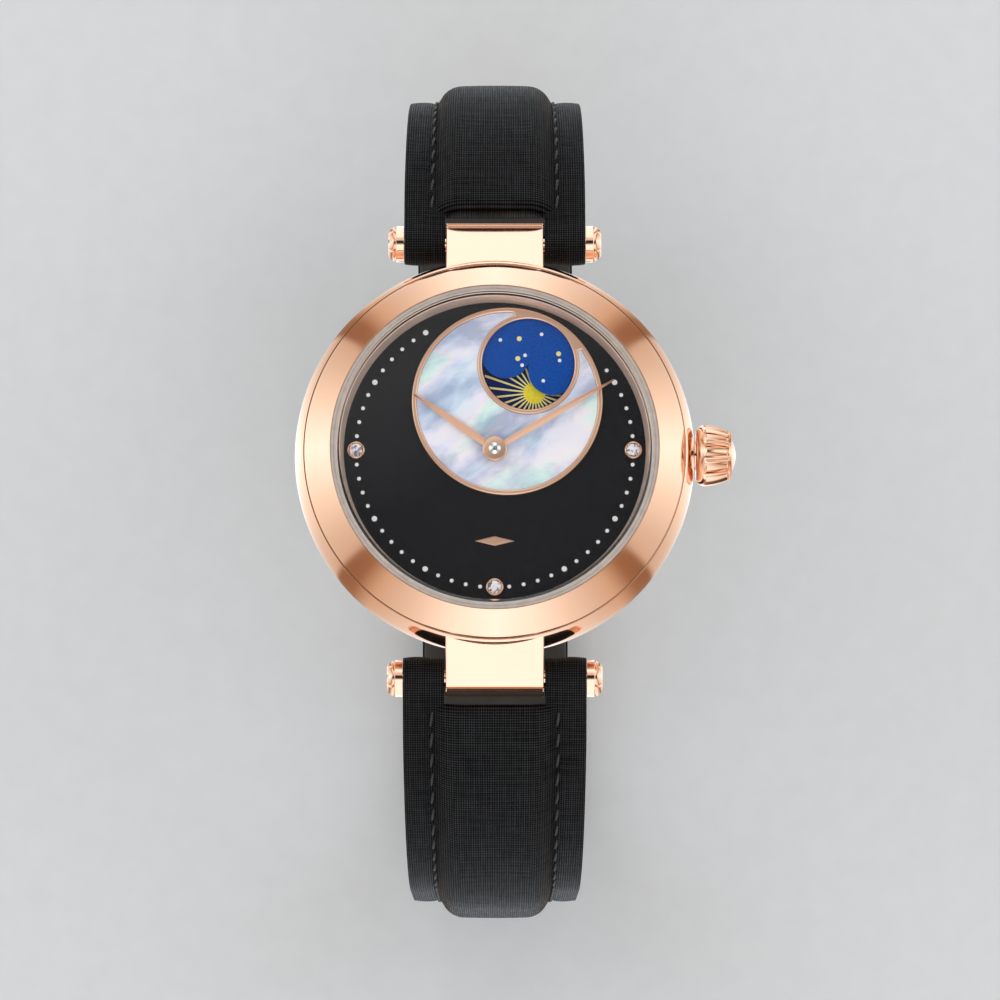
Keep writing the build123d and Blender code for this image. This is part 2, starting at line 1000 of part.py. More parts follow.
def crown():
    cap_edge = (crown_front + slip_fit, crown_cap_radius, 0)
    mirrored = (crown_front + slip_fit, -crown_cap_radius, 0)
    dome = ThreePointArc(cap_edge, (crown_end, 0, 0), mirrored).trim(0, 0.5)
    flank = Polyline(
        dome @ 1,
        (crown_start, 0, 0),
        (crown_start, crown_back_radius, 0),
        (crown_shoulder, crown_shoulder_radius, 0),
        (crown_front, crown_front_radius, 0),
        cap_edge,
    )
    body = revolve(make_face([dome, flank]), Axis.X)
    margin = crown_panel_margin
    slope = (crown_shoulder_radius - crown_front_radius) / (crown_front - crown_shoulder)
    low = crown_shoulder - margin
    high = crown_front - margin
    low_floor = crown_shoulder_radius - crown_panel_depth
    high_floor = crown_shoulder_radius - slope * (high - crown_shoulder) - crown_panel_depth
    panel = make_face(
        Polyline(
            (low, low_floor, 0),
            (low, crown_shoulder_radius + overrun, 0),
            (high, crown_shoulder_radius + overrun, 0),
            (high, high_floor, 0),
            close=True,
        )
    )
    step = 360 / crown_rib_count
    cutter = revolve(panel, Axis.X, revolution_arc=crown_panel_angle)
    for number in range(crown_rib_count):
        body = body - Rot(number * step, 0, 0) * cutter
    body = body - rod_on_x(crown_cavity_radius, crown_start - overrun, crown_cavity_end)
    return Pos(0, 0, -stem_depth) * body


def crown_tube():
    tube = turned_on_x(
        [
            (tube_inner_end, tube_bore_radius),
            (tube_inner_end, tube_outer_radius),
            (tube_collar_end, tube_outer_radius),
            (tube_collar_end, tube_neck_radius),
            (tube_neck_end, tube_neck_radius),
            (tube_neck_end, tube_bore_radius),
        ]
    )
    return Pos(0, 0, -stem_depth) * tube


def crown_gasket():
    inner = tube_neck_radius + crown_gasket_gap
    ring = turned_on_x(
        [
            (crown_gasket_start, inner),
            (crown_gasket_start, crown_cavity_radius),
            (crown_gasket_start + crown_gasket_length, crown_cavity_radius),
            (crown_gasket_start + crown_gasket_length, inner),
        ]
    )
    return Pos(0, 0, -stem_depth) * ring


def winding_stem():
    return rod_on_x(stem_radius, stem_inner_end, crown_cavity_end, 0, -stem_depth)


def clutch_wheel():
    face = gear_face(clutch_teeth, clutch_module, 0) - Circle(stem_radius + slip_fit)
    body = extrude(face, clutch_length)
    return Pos(clutch_start, 0, -stem_depth) * Rot(0, 90, 0) * body


def corrector(side):
    plane = corrector_axis(side)
    face = plane.offset(corrector_recess) * Circle(corrector_radius)
    return extrude(face, corrector_length)


def case_back():
    plate = disc(back_radius, -back_bottom_depth, -case_back_depth)
    neck = annulus(
        back_neck_inner_radius,
        back_neck_outer_radius,
        -case_back_depth,
        -back_neck_top_depth,
    )
    plate = plate + neck
    seat_radius = back_glass_radius + slip_fit
    plate = plate - disc(seat_radius, -back_glass_bottom_depth, -case_back_depth)
    plate = plate - disc(back_window_radius, -back_bottom_depth, -case_back_depth)
    rims = plate.edges().filter_by(GeomType.CIRCLE).group_by(Axis.Z)[0]
    plate = chamfer(rims, back_edge_bevel)
    for number in range(back_screw_count):
        x, y = polar(back_screw_distance, screw_angle(number))
        shank = disc(
            back_screw_radius + slip_fit, -back_bottom_depth, -case_back_depth, x, y
        )
        head = disc(
            back_screw_head_radius + slip_fit,
            -back_bottom_depth,
            back_screw_head_height - back_bottom_depth,
            x,
            y,
        )
        plate = plate - shank - head
    return plate


def back_screws():
    screws = []
    low = -back_bottom_depth + slip_fit
    for number in range(back_screw_count):
        x, y = polar(back_screw_distance, screw_angle(number))
        head = disc(
            back_screw_head_radius, low, back_screw_head_height - back_bottom_depth, x, y
        )
        shank = disc(back_screw_radius, low, -back_screw_top_depth, x, y)
        slot = Pos(x, y, low) * Box(
            2 * back_screw_head_radius, back_screw_slot_width, 2 * back_screw_slot_depth
        )
        screws.append(head + shank - slot)
    return Compound(children=screws)


def bar_head(direction):
    start = strap_width / 2 + slip_fit
    collar_end = start + collar_length
    neck_end = collar_end + neck_length
    dome_start = bar_end - head_dome
    points = [
        (start, 0),
        (start, collar_radius),
        (collar_end, collar_radius),
        (collar_end, neck_radius),
        (neck_end, neck_radius),
        (neck_end, head_radius),
        (dome_start, head_radius),
        (bar_end, head_radius - head_dome),
        (bar_end, 0),
    ]
    head = turned_on_x([(direction * place, radius) for place, radius in points])
    length = bar_end + overrun - neck_end
    middle = direction * (neck_end + length / 2)
    flute = Pos(middle, head_radius, 0) * Rot(45, 0, 0) * Box(length, flute_width, flute_width)
    for number in range(flute_count):
        head = head - Rot(number * 360 / flute_count, 0, 0) * flute
    return head


def lug_bar():
    nut_face = strap_width / 2 + slip_fit
    bar = rod_on_x(bar_radius, -nut_face, nut_face)
    bar = bar + bar_head(-1)
    bar = bar + rod_on_x(bar_thread_radius, nut_face, nut_face + bar_thread_length)
    slot = Pos(-bar_end, 0, 0) * Box(2 * slot_depth, 2 * head_radius, slot_width)
    return bar - slot


def bar_nut():
    nut_face = strap_width / 2 + slip_fit
    return bar_head(1) - rod_on_x(
        bar_thread_radius + slip_fit / 2, nut_face - overrun, nut_face + bar_thread_length
    )


def at_lug(shape, side):
    return Pos(0, side * pin_distance, -pin_depth) * shape


def strap_line(inset, upright, lower_radius, run):
    """The strap's side line, inset from its outer face, from the ear to the end."""
    ear_y = pin_distance + (ear_radius - inset) * math.sin(heading)
    ear_z = (ear_radius - inset) * math.cos(heading) - pin_depth
    bend_y = ear_y + strap_lead * math.cos(heading)
    bend_z = ear_z - strap_lead * math.sin(heading)
    upper = upper_bend_radius - inset
    lower = lower_radius - inset
    middle_y, middle_z = polar(upper, (90 - ear_heading) / 2)
    lower_y = upper_centre_y + upper_bend_radius - lower_radius
    lower_z = upper_centre_z - upright
    low_y, low_z = polar(lower, -45)
    side_y = upper_centre_y + upper
    edges = [
        Line((0, ear_y, ear_z), (0, bend_y, bend_z)),
        ThreePointArc(
            (0, bend_y, bend_z),
            (0, upper_centre_y + middle_y, upper_centre_z + middle_z),
            (0, side_y, upper_centre_z),
        ),
    ]
    if upright:
        edges.append(Line((0, side_y, upper_centre_z), (0, side_y, lower_z)))
    edges.append(
        ThreePointArc(
            (0, side_y, lower_z),
            (0, lower_y + low_y, lower_z + low_z),
            (0, lower_y, lower_z - lower),
        )
    )
    edges.append(Line((0, lower_y, lower_z - lower), (0, lower_y - run, lower_z - lower)))
    return edges


def strap_band(outer_inset, inner_inset, upright, lower_radius, run, width):
    outer = strap_line(outer_inset, upright, lower_radius, run)
    inner = strap_line(inner_inset, upright, lower_radius, run)
    first = Line(outer[0] @ 0, inner[0] @ 0)
    last = Line(outer[-1] @ 1, inner[-1] @ 1)
    return extrude(make_face([*outer, *inner, first, last]), width / 2, both=True)


def strap_taper(inset):
    top = strap_width / 2 - inset
    foot = strap_foot_width / 2 - inset
    ratio = (top - foot) / strap_foot_depth
    high = -pin_depth + ear_radius + pad_height + overrun
    low = -dial_height - overrun
    low_half = foot - ratio * (-low - strap_foot_depth)
    reach = pin_distance + upper_bend_radius + overrun
    outline = Polyline(
        (-low_half, -reach, low),
        (low_half, -reach, low),
        (top, -reach, -pin_depth),
        (top, -reach, high),
        (-top, -reach, high),
        (-top, -reach, -pin_depth),
        close=True,
    )
    return extrude(make_face(outline), 2 * reach, dir=(0, 1, 0))


def pad_section(y, z, degrees):
    """The pad's cross-section at a point of the strap's outer face."""
    out_y, out_z = polar(1, degrees)
    half_base = pad_base_width / 2
    half_top = pad_top_width / 2
    rows = [
        (-half_base, -pad_sink),
        (half_base, -pad_sink),
        (half_base, 0),
        (half_top, pad_height),
        (-half_top, pad_height),
        (-half_base, 0),
    ]
    corners = [(x, y + rise * out_y, z + rise * out_z) for x, rise in rows]
    return make_face(Polyline(*corners, close=True))


def strap_pad(upright, lower_radius):
    bend_y, bend_z = polar(upper_bend_radius, 90 - ear_heading)
    start = pad_section(upper_centre_y + bend_y, upper_centre_z + bend_z, 90 - ear_heading)
    lead = extrude(start, strap_lead, dir=(0, -math.cos(heading), math.sin(heading)))
    side_y = upper_centre_y + upper_bend_radius
    side = pad_section(side_y, upper_centre_z, 0)
    upper_axis = Axis((0, upper_centre_y, upper_centre_z), (1, 0, 0))
    upper = revolve(side, upper_axis, 90 - ear_heading)
    foot = pad_section(side_y, upper_centre_z - upright, 0)
    fade_radius = lower_radius - pad_fade
    lower_axis = Axis((0, side_y - fade_radius, upper_centre_z - upright), (-1, 0, 0))
    lower = revolve(foot, lower_axis, 90)
    pad = lead + upper + lower
    if upright:
        pad = pad + extrude(side, upright, dir=(0, 0, -1))
    return pad


def inner_space(inset, upright, lower_radius, run):
    inner = strap_line(inset, upright, lower_radius, run)
    start = inner[0] @ 0
    end = inner[-1] @ 1
    corner = (0, end.Y, start.Z)
    edges = [*inner, Line(end, corner), Line(corner, start)]
    return extrude(make_face(edges), strap_width, both=True)


def ear_and_cheek():
    """The sleeve round the screw bar, and the wedge that joins it to the band."""
    ear = rod_on_x(ear_radius, -strap_width / 2, strap_width / 2, pin_distance, -pin_depth)
    out_y = math.sin(heading)
    out_z = math.cos(heading)
    along_y = math.cos(heading)
    along_z = -math.sin(heading)

    def point(rise, along):
        y = pin_distance + rise * out_y + along * along_y
        z = -pin_depth + rise * out_z + along * along_z
        return 0, y, z

    edges = Polyline(
        point(ear_radius, 0),
        point(-ear_radius, 0),
        point(ear_radius - strap_thickness, cheek_length),
        point(ear_radius - shell_thickness / 2, cheek_length),
        close=True,
    )
    return ear + extrude(make_face(edges), strap_width / 2, both=True)


def lug_notch():
    half = lug_width / 2 + ear_side_gap
    root = slab(
        -half,
        half,
        pin_distance - 2 * ear_radius,
        pin_distance,
        -pin_depth - 2 * ear_radius,
        -pin_depth + 2 * ear_radius + pad_height,
    )
    front = slab(
        -half,
        half,
        pin_distance,
        pin_distance + notch_radius,
        -pin_depth,
        -pin_depth + 2 * ear_radius + pad_height,
    )
    return root + front + rod_on_x(notch_radius, -half, half, pin_distance, -pin_depth)


def strap_shell(upright, lower_radius, run):
    band = strap_band(0, shell_thickness, upright, lower_radius, run, strap_width)
    pad = strap_pad(upright, lower_radius)
    pad = pad - inner_space(shell_thickness, upright, lower_radius, run)
    body = (band + ear_and_cheek() + pad) & strap_taper(0)
    bore = rod_on_x(
        bar_radius + slip_fit, -strap_width, strap_width, pin_distance, -pin_depth
    )
    return body - lug_notch() - bore


def strap_lining(upright, lower_radius, run):
    outer = shell_thickness + lining_gap
    band = strap_band(
        outer, outer + lining_thickness, upright, lower_radius, run, strap_width
    )
    body = band & strap_taper(lining_inset)
    cut = slab(
        -strap_width,
        strap_width,
        0,
        pin_distance + cheek_length,
        -pin_depth - 2 * cheek_length,
        0,
    )
    return body - cut


def strap_end(run, lower_radius, upright):
    """Place of the strap's end, on its outer face."""
    y = upper_centre_y + upper_bend_radius - lower_radius - run
    return y, upper_centre_z - upright - lower_radius


def round_tip(body, tip_y):
    corners = [
        edge
        for edge in body.edges()
        if abs(edge.center().Y - tip_y) < slip_fit and abs(edge.center().X) > tip_round
    ]
    return fillet(corners, tip_round)


def strap_holes(tip_y, tip_z):
    holes = []
    for number in range(hole_count):
        y = tip_y + first_hole_from_tip + number * hole_pitch
        holes.append(
            disc(hole_radius, tip_z - overrun, tip_z + strap_thickness + overrun, 0, y)
        )
    return holes


def strap_6_pieces():
    tip_y, tip_z = strap_end(run_length_6, lower_bend_radius_6, upright_length_6)
    args = (upright_length_6, lower_bend_radius_6, run_length_6)
    pieces = []
    for body in (strap_shell(*args), strap_lining(*args)):
        body = round_tip(body, tip_y)
        for hole in strap_holes(tip_y, tip_z):
            body = body - hole
        pieces.append(Rot(0, 0, 180) * body)
    return pieces


# the buckle bar lies in the rolled end of the 12 o'clock strap
end_radius = strap_thickness / 2
end_y, end_z = strap_end(run_length_12, lower_bend_radius_12, 0)
buckle_y = end_y
buckle_z = end_z + end_radius


def tang_slot():
    half = tang_width / 2 + tang_slot_side_gap
    slack = strap_thickness
    return slab(
        -half,
        half,
        end_y - slack,
        end_y + tang_slot_length,
        end_z - slack,
        end_z + 2 * slack,
    )


def strap_12_pieces():
    args = (0, lower_bend_radius_12, run_length_12)
    shell = strap_shell(*args)
    foot_half = strap_foot_width / 2
    roll = rod_on_x(end_radius, -foot_half, foot_half, buckle_y, buckle_z)
    shell = shell + roll
    shell = shell - rod_on_x(
        buckle_bar_radius + slip_fit, -strap_width, strap_width, buckle_y, buckle_z
    )
    shell = shell - tang_slot()
    lining = strap_lining(*args)
    room = slab(
        -strap_width,
        strap_width,
        end_y - overrun,
        end_y + tang_slot_length,
        end_z,
        end_z + strap_thickness + overrun,
    )
    return shell, lining - room


def keeper(from_bar):
    half = strap_half_width_at(end_z) + keeper_side_gap
    top = end_z + strap_thickness + keeper_top_gap
    low = end_z - keeper_room
    start = end_y + from_bar
    outer = slab(
        -half - keeper_wall,
        half + keeper_wall,
        start,
        start + keeper_length,
        low - keeper_wall,
        top + keeper_wall,
    )
    outer = fillet(outer.edges().filter_by(Axis.Y), keeper_wall)
    return outer - slab(-half, half, start, start + keeper_length, low, top)


def strap_half_width_at(z):
    share = (-z - pin_depth) / (strap_foot_depth - pin_depth)
    return (strap_width - share * (strap_width - strap_foot_width)) / 2


def buckle_frame():
    outer_half = frame_inner_width / 2 + frame_arm_width
    length = frame_reach + frame_far_bar
    blank = Pos(0, buckle_y - length / 2 + frame_thickness / 2, buckle_z) * Box(
        2 * outer_half, length + frame_thickness, frame_thickness
    )
    far = blank.edges().filter_by(Axis.Z).group_by(Axis.Y)[0]
    blank = fillet(far, frame_corner_round)
    rims = blank.edges().group_by(Axis.Z)
    blank = chamfer([*rims[0], *rims[-1]], frame_edge_bevel)
    near = blank.edges().filter_by(Axis.X).group_by(Axis.Y)[-1]
    blank = fillet(near, frame_thickness / 2 - slip_fit)
    window = Pos(0, buckle_y - frame_reach / 2 + overrun, buckle_z) * Box(
        frame_inner_width, frame_reach + 2 * overrun, 2 * frame_thickness
    )
    frame = blank - window
    bore = rod_on_x(
        buckle_bar_radius + slip_fit / 2, -outer_half, outer_half, buckle_y, buckle_z
    )
    return frame - bore


def buckle_bar():
    half = frame_inner_width / 2 + frame_arm_width - buckle_bar_end_gap
    return rod_on_x(buckle_bar_radius, -half, half, buckle_y, buckle_z)


def buckle_tang():
    low = buckle_z - frame_thickness / 2 - slip_fit
    far_y = buckle_y - frame_reach - frame_far_bar - tang_overhang
    outline = Polyline(
        (0, buckle_y, buckle_z - tang_eye_radius),
        (0, buckle_y, buckle_z + tang_eye_radius / 2),
        (0, buckle_y - frame_reach, low),
        (0, far_y, low),
        (0, far_y, low - tang_thickness),
        (0, buckle_y - frame_reach, low - tang_thickness),
        close=True,
    )
    arm = extrude(make_face(outline), tang_width / 2, both=True)
    eye = rod_on_x(
        tang_eye_radius, -tang_width / 2, tang_width / 2, buckle_y, buckle_z
    )
    bore = rod_on_x(
        buckle_bar_radius + slip_fit, -tang_width, tang_width, buckle_y, buckle_z
    )
    return arm + eye - bore


save("case_body", case_body())
save("bezel", bezel())
save("crystal", crystal())
save(
    "crystal_gasket",
    annulus(crystal_radius, bezel_inner_radius, crystal_ledge_height, gasket_height),
)
save("flange_ring", flange_ring())
save("dial_plate", dial_plate())
save("crescent_frame", crescent_frame())
save("pearl_crescent", pearl_crescent())
save("star_cover", star_cover())
save("gem_cups", gem_cups())
save("gems", gems())
save("dial_lozenge", dial_lozenge())
save("hour_hand", hour_hand())
save("minute_hand", minute_hand())
save("hand_cap", hand_cap())
save("cannon_pinion", cannon_pinion())
save("minute_wheel", minute_wheel())
save("hour_wheel", hour_wheel())
save("disc_wheel", disc_wheel())
save("sun_moon_disc", sun_moon_disc())
save("movement_ring", movement_ring())
save("main_plate", main_plate())
save("barrel_bridge", barrel_bridge())
save("train_bridge", train_bridge())
save("balance_cock", balance_cock())
save("balance_wheel", balance_wheel())
save("rotor_weight", rotor_weight())
save("rotor_bearing", rotor_bearing())
save("ratchet_wheel", ratchet_wheel())
save("crown_wheel", crown_wheel())
save("crown", crown())
save("crown_tube", crown_tube())
save("crown_gasket", crown_gasket())
save("winding_stem", winding_stem())
save("clutch_wheel", clutch_wheel())
save("corrector_right", corrector(1))
save("corrector_left", corrector(-1))
save("case_back", case_back())
save("back_glass", disc(back_glass_radius, -back_glass_bottom_depth, -back_glass_top_depth))
save(
    "back_gasket",
    annulus(
        back_neck_outer_radius,
        bore_radius - slip_fit,
        -case_back_depth,
        -back_gasket_top_depth,
    ),
)
save("back_screws", back_screws())
save("lug_bar_12", at_lug(lug_bar(), 1))
save("bar_nut_12", at_lug(bar_nut(), 1))
save("lug_bar_6", at_lug(lug_bar(), -1))
save("bar_nut_6", at_lug(bar_nut(), -1))
strap_12, lining_12 = strap_12_pieces()
strap_6, lining_6 = strap_6_pieces()
save("strap_12", strap_12)
save("lining_12", lining_12)
save("strap_6", strap_6)
save("lining_6", lining_6)
save("fixed_keeper", keeper(fixed_keeper_from_bar))
save("free_keeper", keeper(free_keeper_from_bar))
save("buckle_frame", buckle_frame())
save("buckle_bar", buckle_bar())
save("buckle_tang", buckle_tang())
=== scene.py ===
import math

import bmesh
import bpy
from mathutils import Matrix, Vector


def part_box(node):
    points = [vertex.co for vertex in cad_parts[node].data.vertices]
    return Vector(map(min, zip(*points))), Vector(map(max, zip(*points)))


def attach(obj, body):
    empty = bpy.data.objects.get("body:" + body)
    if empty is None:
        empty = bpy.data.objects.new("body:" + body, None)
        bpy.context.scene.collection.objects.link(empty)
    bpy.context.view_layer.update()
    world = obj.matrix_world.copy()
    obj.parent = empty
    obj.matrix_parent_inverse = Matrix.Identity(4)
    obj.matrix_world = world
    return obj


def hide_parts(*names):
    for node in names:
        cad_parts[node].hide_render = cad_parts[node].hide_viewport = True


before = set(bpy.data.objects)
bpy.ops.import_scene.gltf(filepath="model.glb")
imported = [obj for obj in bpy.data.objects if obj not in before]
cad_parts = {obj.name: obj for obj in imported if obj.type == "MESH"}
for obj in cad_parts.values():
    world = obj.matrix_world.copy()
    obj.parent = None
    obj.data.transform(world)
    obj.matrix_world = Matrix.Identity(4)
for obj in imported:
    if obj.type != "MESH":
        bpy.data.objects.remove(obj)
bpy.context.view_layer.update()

# all lengths below are millimetres, and heights count from the dial's face
MM = 0.001
DIAL_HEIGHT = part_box("dial_plate")[1].z / MM
TURN = 2 * math.pi
FULL_STEPS = 224
SMALL_STEPS = 64
EDGE_ANGLE = 32
SHARP_ANGLE = 50

# camera, fitted to the photograph
CAMERA_DISTANCE = 500.0
CAMERA_TILT = 9.98
FRAME_WIDTH = 87.03
AIM = (0.46, -4.33)
SENSOR = 36.0


def link(obj):
    bpy.context.scene.collection.objects.link(obj)
    return obj


def add_camera():
    tilt = math.radians(CAMERA_TILT)
    aim = Vector((AIM[0], AIM[1], DIAL_HEIGHT)) * MM
    back = Vector((0, -math.sin(tilt), math.cos(tilt)))
    right = Vector((1, 0, 0))
    up = back.cross(right)
    data = bpy.data.cameras.new("photo_camera")
    data.sensor_width = SENSOR
    data.lens = SENSOR * CAMERA_DISTANCE / FRAME_WIDTH
    data.clip_start = 0.01
    data.clip_end = 20.0
    camera = link(bpy.data.objects.new("photo_camera", data))
    turn = Matrix((right, up, back)).transposed().to_4x4()
    camera.matrix_world = Matrix.Translation(aim + back * CAMERA_DISTANCE * MM) @ turn
    bpy.context.scene.camera = camera


# studio
FLOOR_RADIUS = 1800.0
FLOOR_TONE = 0.74
WORLD_SHOWN = 0.86
SOFTBOX_LEVEL = 1.9
CEILING_EDGE = (0.9945, 0.968)
CEILING_GLOW = (18.0, -9.0, 0.06, 0.03, 0.9)
SOFTBOX_TINTS = (
    (0.0, (0.80, 0.90, 1.0)),
    (0.15, (0.70, 0.76, 0.80)),
    (0.26, (0.55, 0.56, 0.56)),
    (0.36, (0.45, 0.43, 0.41)),
    (0.44, (0.40, 0.33, 0.27)),
    (0.51, (0.20, 0.12, 0.075)),
    (0.575, (0.17, 0.10, 0.060)),
    (0.595, (0.40, 0.36, 0.33)),
    (0.69, (0.46, 0.45, 0.43)),
    (0.80, (0.58, 0.60, 0.60)),
    (0.91, (0.72, 0.78, 0.82)),
    (1.0, (0.80, 0.90, 1.0)),
)


class Steps:
    """The nodes of a material or a world, with the few steps that they share."""

    def __init__(self, tree):
        self.nodes, self.links = tree.nodes, tree.links

    def feed(self, socket, value):
        """Joins a socket to a source, or sets it to a number, a vector or a colour."""
        if isinstance(value, bpy.types.NodeSocket):
            self.links.new(value, socket)
        elif value is not None:
            socket.default_value = (*value, 1) if socket.type == "RGBA" else value

    def node(self, kind, values=(), **settings):
        """A new node, with its sockets fed in their order or by their names."""
        node = self.nodes.new("ShaderNode" + kind)
        for name, value in settings.items():
            setattr(node, name, value)
        named = values if isinstance(values, dict) else dict(enumerate(values))
        for name, value in named.items():
            self.feed(node.inputs[name], value)
        return node

    def math(self, operation, first, second=None):
        return self.node("Math", (first, second), operation=operation).outputs[0]

    def ranged(self, source, low, high, from_low=0.0, from_high=1.0, kind="LINEAR"):
        values = (source, from_low, from_high, low, high)
        return self.node("MapRange", values, interpolation_type=kind).outputs[0]

    def ramp(self, source, stops):
        step = self.node("ValToRGB", (source,))
        elements = step.color_ramp.elements
        while len(elements) < len(stops):
            elements.new(0.5)
        for element, (place, colour) in zip(elements, stops):
            element.position = place
            element.color = (*colour, 1)
        return step.outputs[0]


def soft_boxes(world):
    """A ring of soft boxes low round the watch, with dark gaps, and a dim ceiling."""
    world.use_nodes = True
    world.node_tree.nodes.clear()
    steps = Steps(world.node_tree)
    tilt = math.radians(CAMERA_TILT)
    lean = (0.0, -math.sin(tilt), math.cos(tilt))
    place = steps.node("TexCoord").outputs["Generated"]
    half = steps.node("VectorMath", (place, lean), operation="ADD").outputs[0]
    facing = steps.node("VectorMath", (half,), operation="NORMALIZE").outputs[0]
    x, y, z = steps.node("SeparateXYZ", (facing,)).outputs
    turn = steps.math("ARCTAN2", steps.math("ABSOLUTE", x), steps.math("ABSOLUTE", y))
    tint = steps.ramp(steps.math("DIVIDE", turn, math.pi / 2), SOFTBOX_TINTS)
    boxes = steps.node("Background", (tint, SOFTBOX_LEVEL)).outputs[0]

    north, west, middle, least, most = CEILING_GLOW
    slope = steps.math("ADD", steps.math("MULTIPLY", y, north), steps.math("MULTIPLY", x, west))
    slope = steps.math("ADD", slope, middle)
    glow = steps.math("MINIMUM", steps.math("MAXIMUM", slope, least), most)
    grey = steps.node("CombineXYZ", (glow, glow, glow)).outputs[0]
    ceiling = steps.node("Background", (grey, 1.0)).outputs[0]

    low = steps.ranged(z, 0.0, 1.0, *CEILING_EDGE, "SMOOTHSTEP")
    lit = steps.node("MixShader", (low, ceiling, boxes)).outputs[0]
    shown = steps.node("Background", ((1.0, 1.0, 1.0), WORLD_SHOWN)).outputs[0]
    seen = steps.node("LightPath").outputs["Is Camera Ray"]
    mix = steps.node("MixShader", (seen, lit, shown)).outputs[0]
    steps.node("OutputWorld", (mix,))


def add_studio():
    world = bpy.data.worlds.new("studio")
    bpy.context.scene.world = world
    bpy.context.scene.view_settings.view_transform = "Standard"
    soft_boxes(world)

    bm = bmesh.new()
    bmesh.ops.create_circle(bm, cap_ends=True, radius=FLOOR_RADIUS * MM, segments=96)
    floor = link(bpy.data.objects.new("floor", as_mesh(bm, "floor")))
    finish = Finish("floor_paper", (FLOOR_TONE,) * 3, Roughness=0.8)
    finish.vary(finish.noise(400.0, 3.0), (0.97 * FLOOR_TONE,) * 3, (FLOOR_TONE,) * 3)
    finish.let_through("Is Glossy Ray")
    floor.data.materials.append(finish.material)


class Finish(Steps):
    """A material under construction."""

    def __init__(self, name, colour, **values):
        self.material = bpy.data.materials.new(name)
        self.material.use_nodes = True
        super().__init__(self.material.node_tree)
        self.shader = self.nodes["Principled BSDF"]
        self.set(Base_Color=colour, **values)

    def set(self, **values):
        """Sets or joins sockets of the shader, each named with _ for its blanks."""
        for name, value in values.items():
            self.feed(self.shader.inputs[name.replace("_", " ")], value)

    def place(self, coordinates="Object"):
        return self.node("TexCoord").outputs[coordinates]

    def mapped(self, source, scale=(1, 1, 1), rotation=(0, 0, 0)):
        return self.node("Mapping", (source, (0, 0, 0), rotation, scale)).outputs[0]

    def noise(self, scale, detail, vector=None, roughness=0.5, distortion=0.0, output=0):
        values = {"Scale": scale, "Detail": detail, "Roughness": roughness}
        values.update({"Distortion": distortion, "Vector": vector or self.place()})
        return self.node("TexNoise", values).outputs[output]

    def cells(self, scale, feature="F1", **values):
        values.update({"Scale": scale, "Vector": self.place()})
        return self.node("TexVoronoi", values, feature=feature)

    def vary(self, source, low, high):
        """Lets the colour run from low to high with the source."""
        self.set(Base_Color=self.ramp(source, [(0.3, low), (0.7, high)]))

    def bump(self, height, distance, strength):
        values = {"Strength": strength, "Distance": distance, "Height": height}
        self.set(Normal=self.node("Bump", values).outputs[0])

    def let_through(self, ray, colour=(1, 1, 1)):
        """Lets rays of one kind pass the surface."""
        passing = self.node("LightPath").outputs[ray]
        clear = self.node("BsdfTransparent", (colour,)).outputs[0]
        mix = self.node("MixShader", (passing, self.shader.outputs[0], clear))
        self.feed(self.nodes["Material Output"].inputs["Surface"], mix.outputs[0])


GOLD = (0.88, 0.54, 0.37)
GOLD_WARM = (0.91, 0.57, 0.40)
BLACK = (0.006, 0.006, 0.007)
PEARL_DRIFT = (0.003, 0.003, 0.0)
PEARL_TONES = (
    (0.36, (0.50, 0.57, 0.70)),
    (0.45, (0.68, 0.74, 0.84)),
    (0.52, (0.84, 0.88, 0.94)),
    (0.60, (1.0, 1.0, 1.0)),
)
PEARL_TINTS = (
    (0.38, (0.80, 0.90, 1.0)),
    (0.47, (0.93, 0.88, 1.0)),
    (0.54, (1.0, 0.93, 0.95)),
    (0.62, (0.80, 1.0, 0.92)),
)
# bright and dark cells painted into the stones' base colour: painted glints that stand in for
# facet reflections
PAINTED_STONE_GLINTS = (
    (0.15, (0.16, 0.13, 0.17)),
    (0.30, (0.80, 0.66, 0.74)),
    (0.50, (0.96, 0.90, 0.95)),
    (0.80, (1.0, 1.0, 1.0)),
)
# dark to light tones of the black cloth; the light end is a painted sheen on the thread crowns
PAINTED_SATIN_SHEEN = ((0.2, (0.0008, 0.0008, 0.0009)), (0.95, (0.045, 0.045, 0.047)))
THREAD_PITCH = 0.21


def rose_gold(name="rose_gold_polished", roughness=(0.07, 0.13)):
    finish = Finish(name, GOLD, Metallic=1.0)
    finish.vary(finish.noise(60.0, 3.0), GOLD, GOLD_WARM)
    finish.set(Roughness=finish.ranged(finish.noise(900.0, 4.0), *roughness))
    return finish.material


def clear_glass(name, ior):
    """Glass that lets the lamps through to what lies under it."""
    finish = Finish(name, (1, 1, 1), Roughness=0.0, IOR=ior, Transmission_Weight=1.0)
    finish.let_through("Is Shadow Ray", (0.97, 0.97, 0.97))
    return finish.material


def black_lacquer():
    finish = Finish("black_dial_lacquer", BLACK, Roughness=0.10, Specular_IOR_Level=0.3)
    finish.set(Coat_Weight=0.5, Coat_Roughness=0.06)
    finish.vary(finish.noise(1500.0, 4.0), (0.005, 0.005, 0.006), (0.009, 0.009, 0.010))
    return finish.material


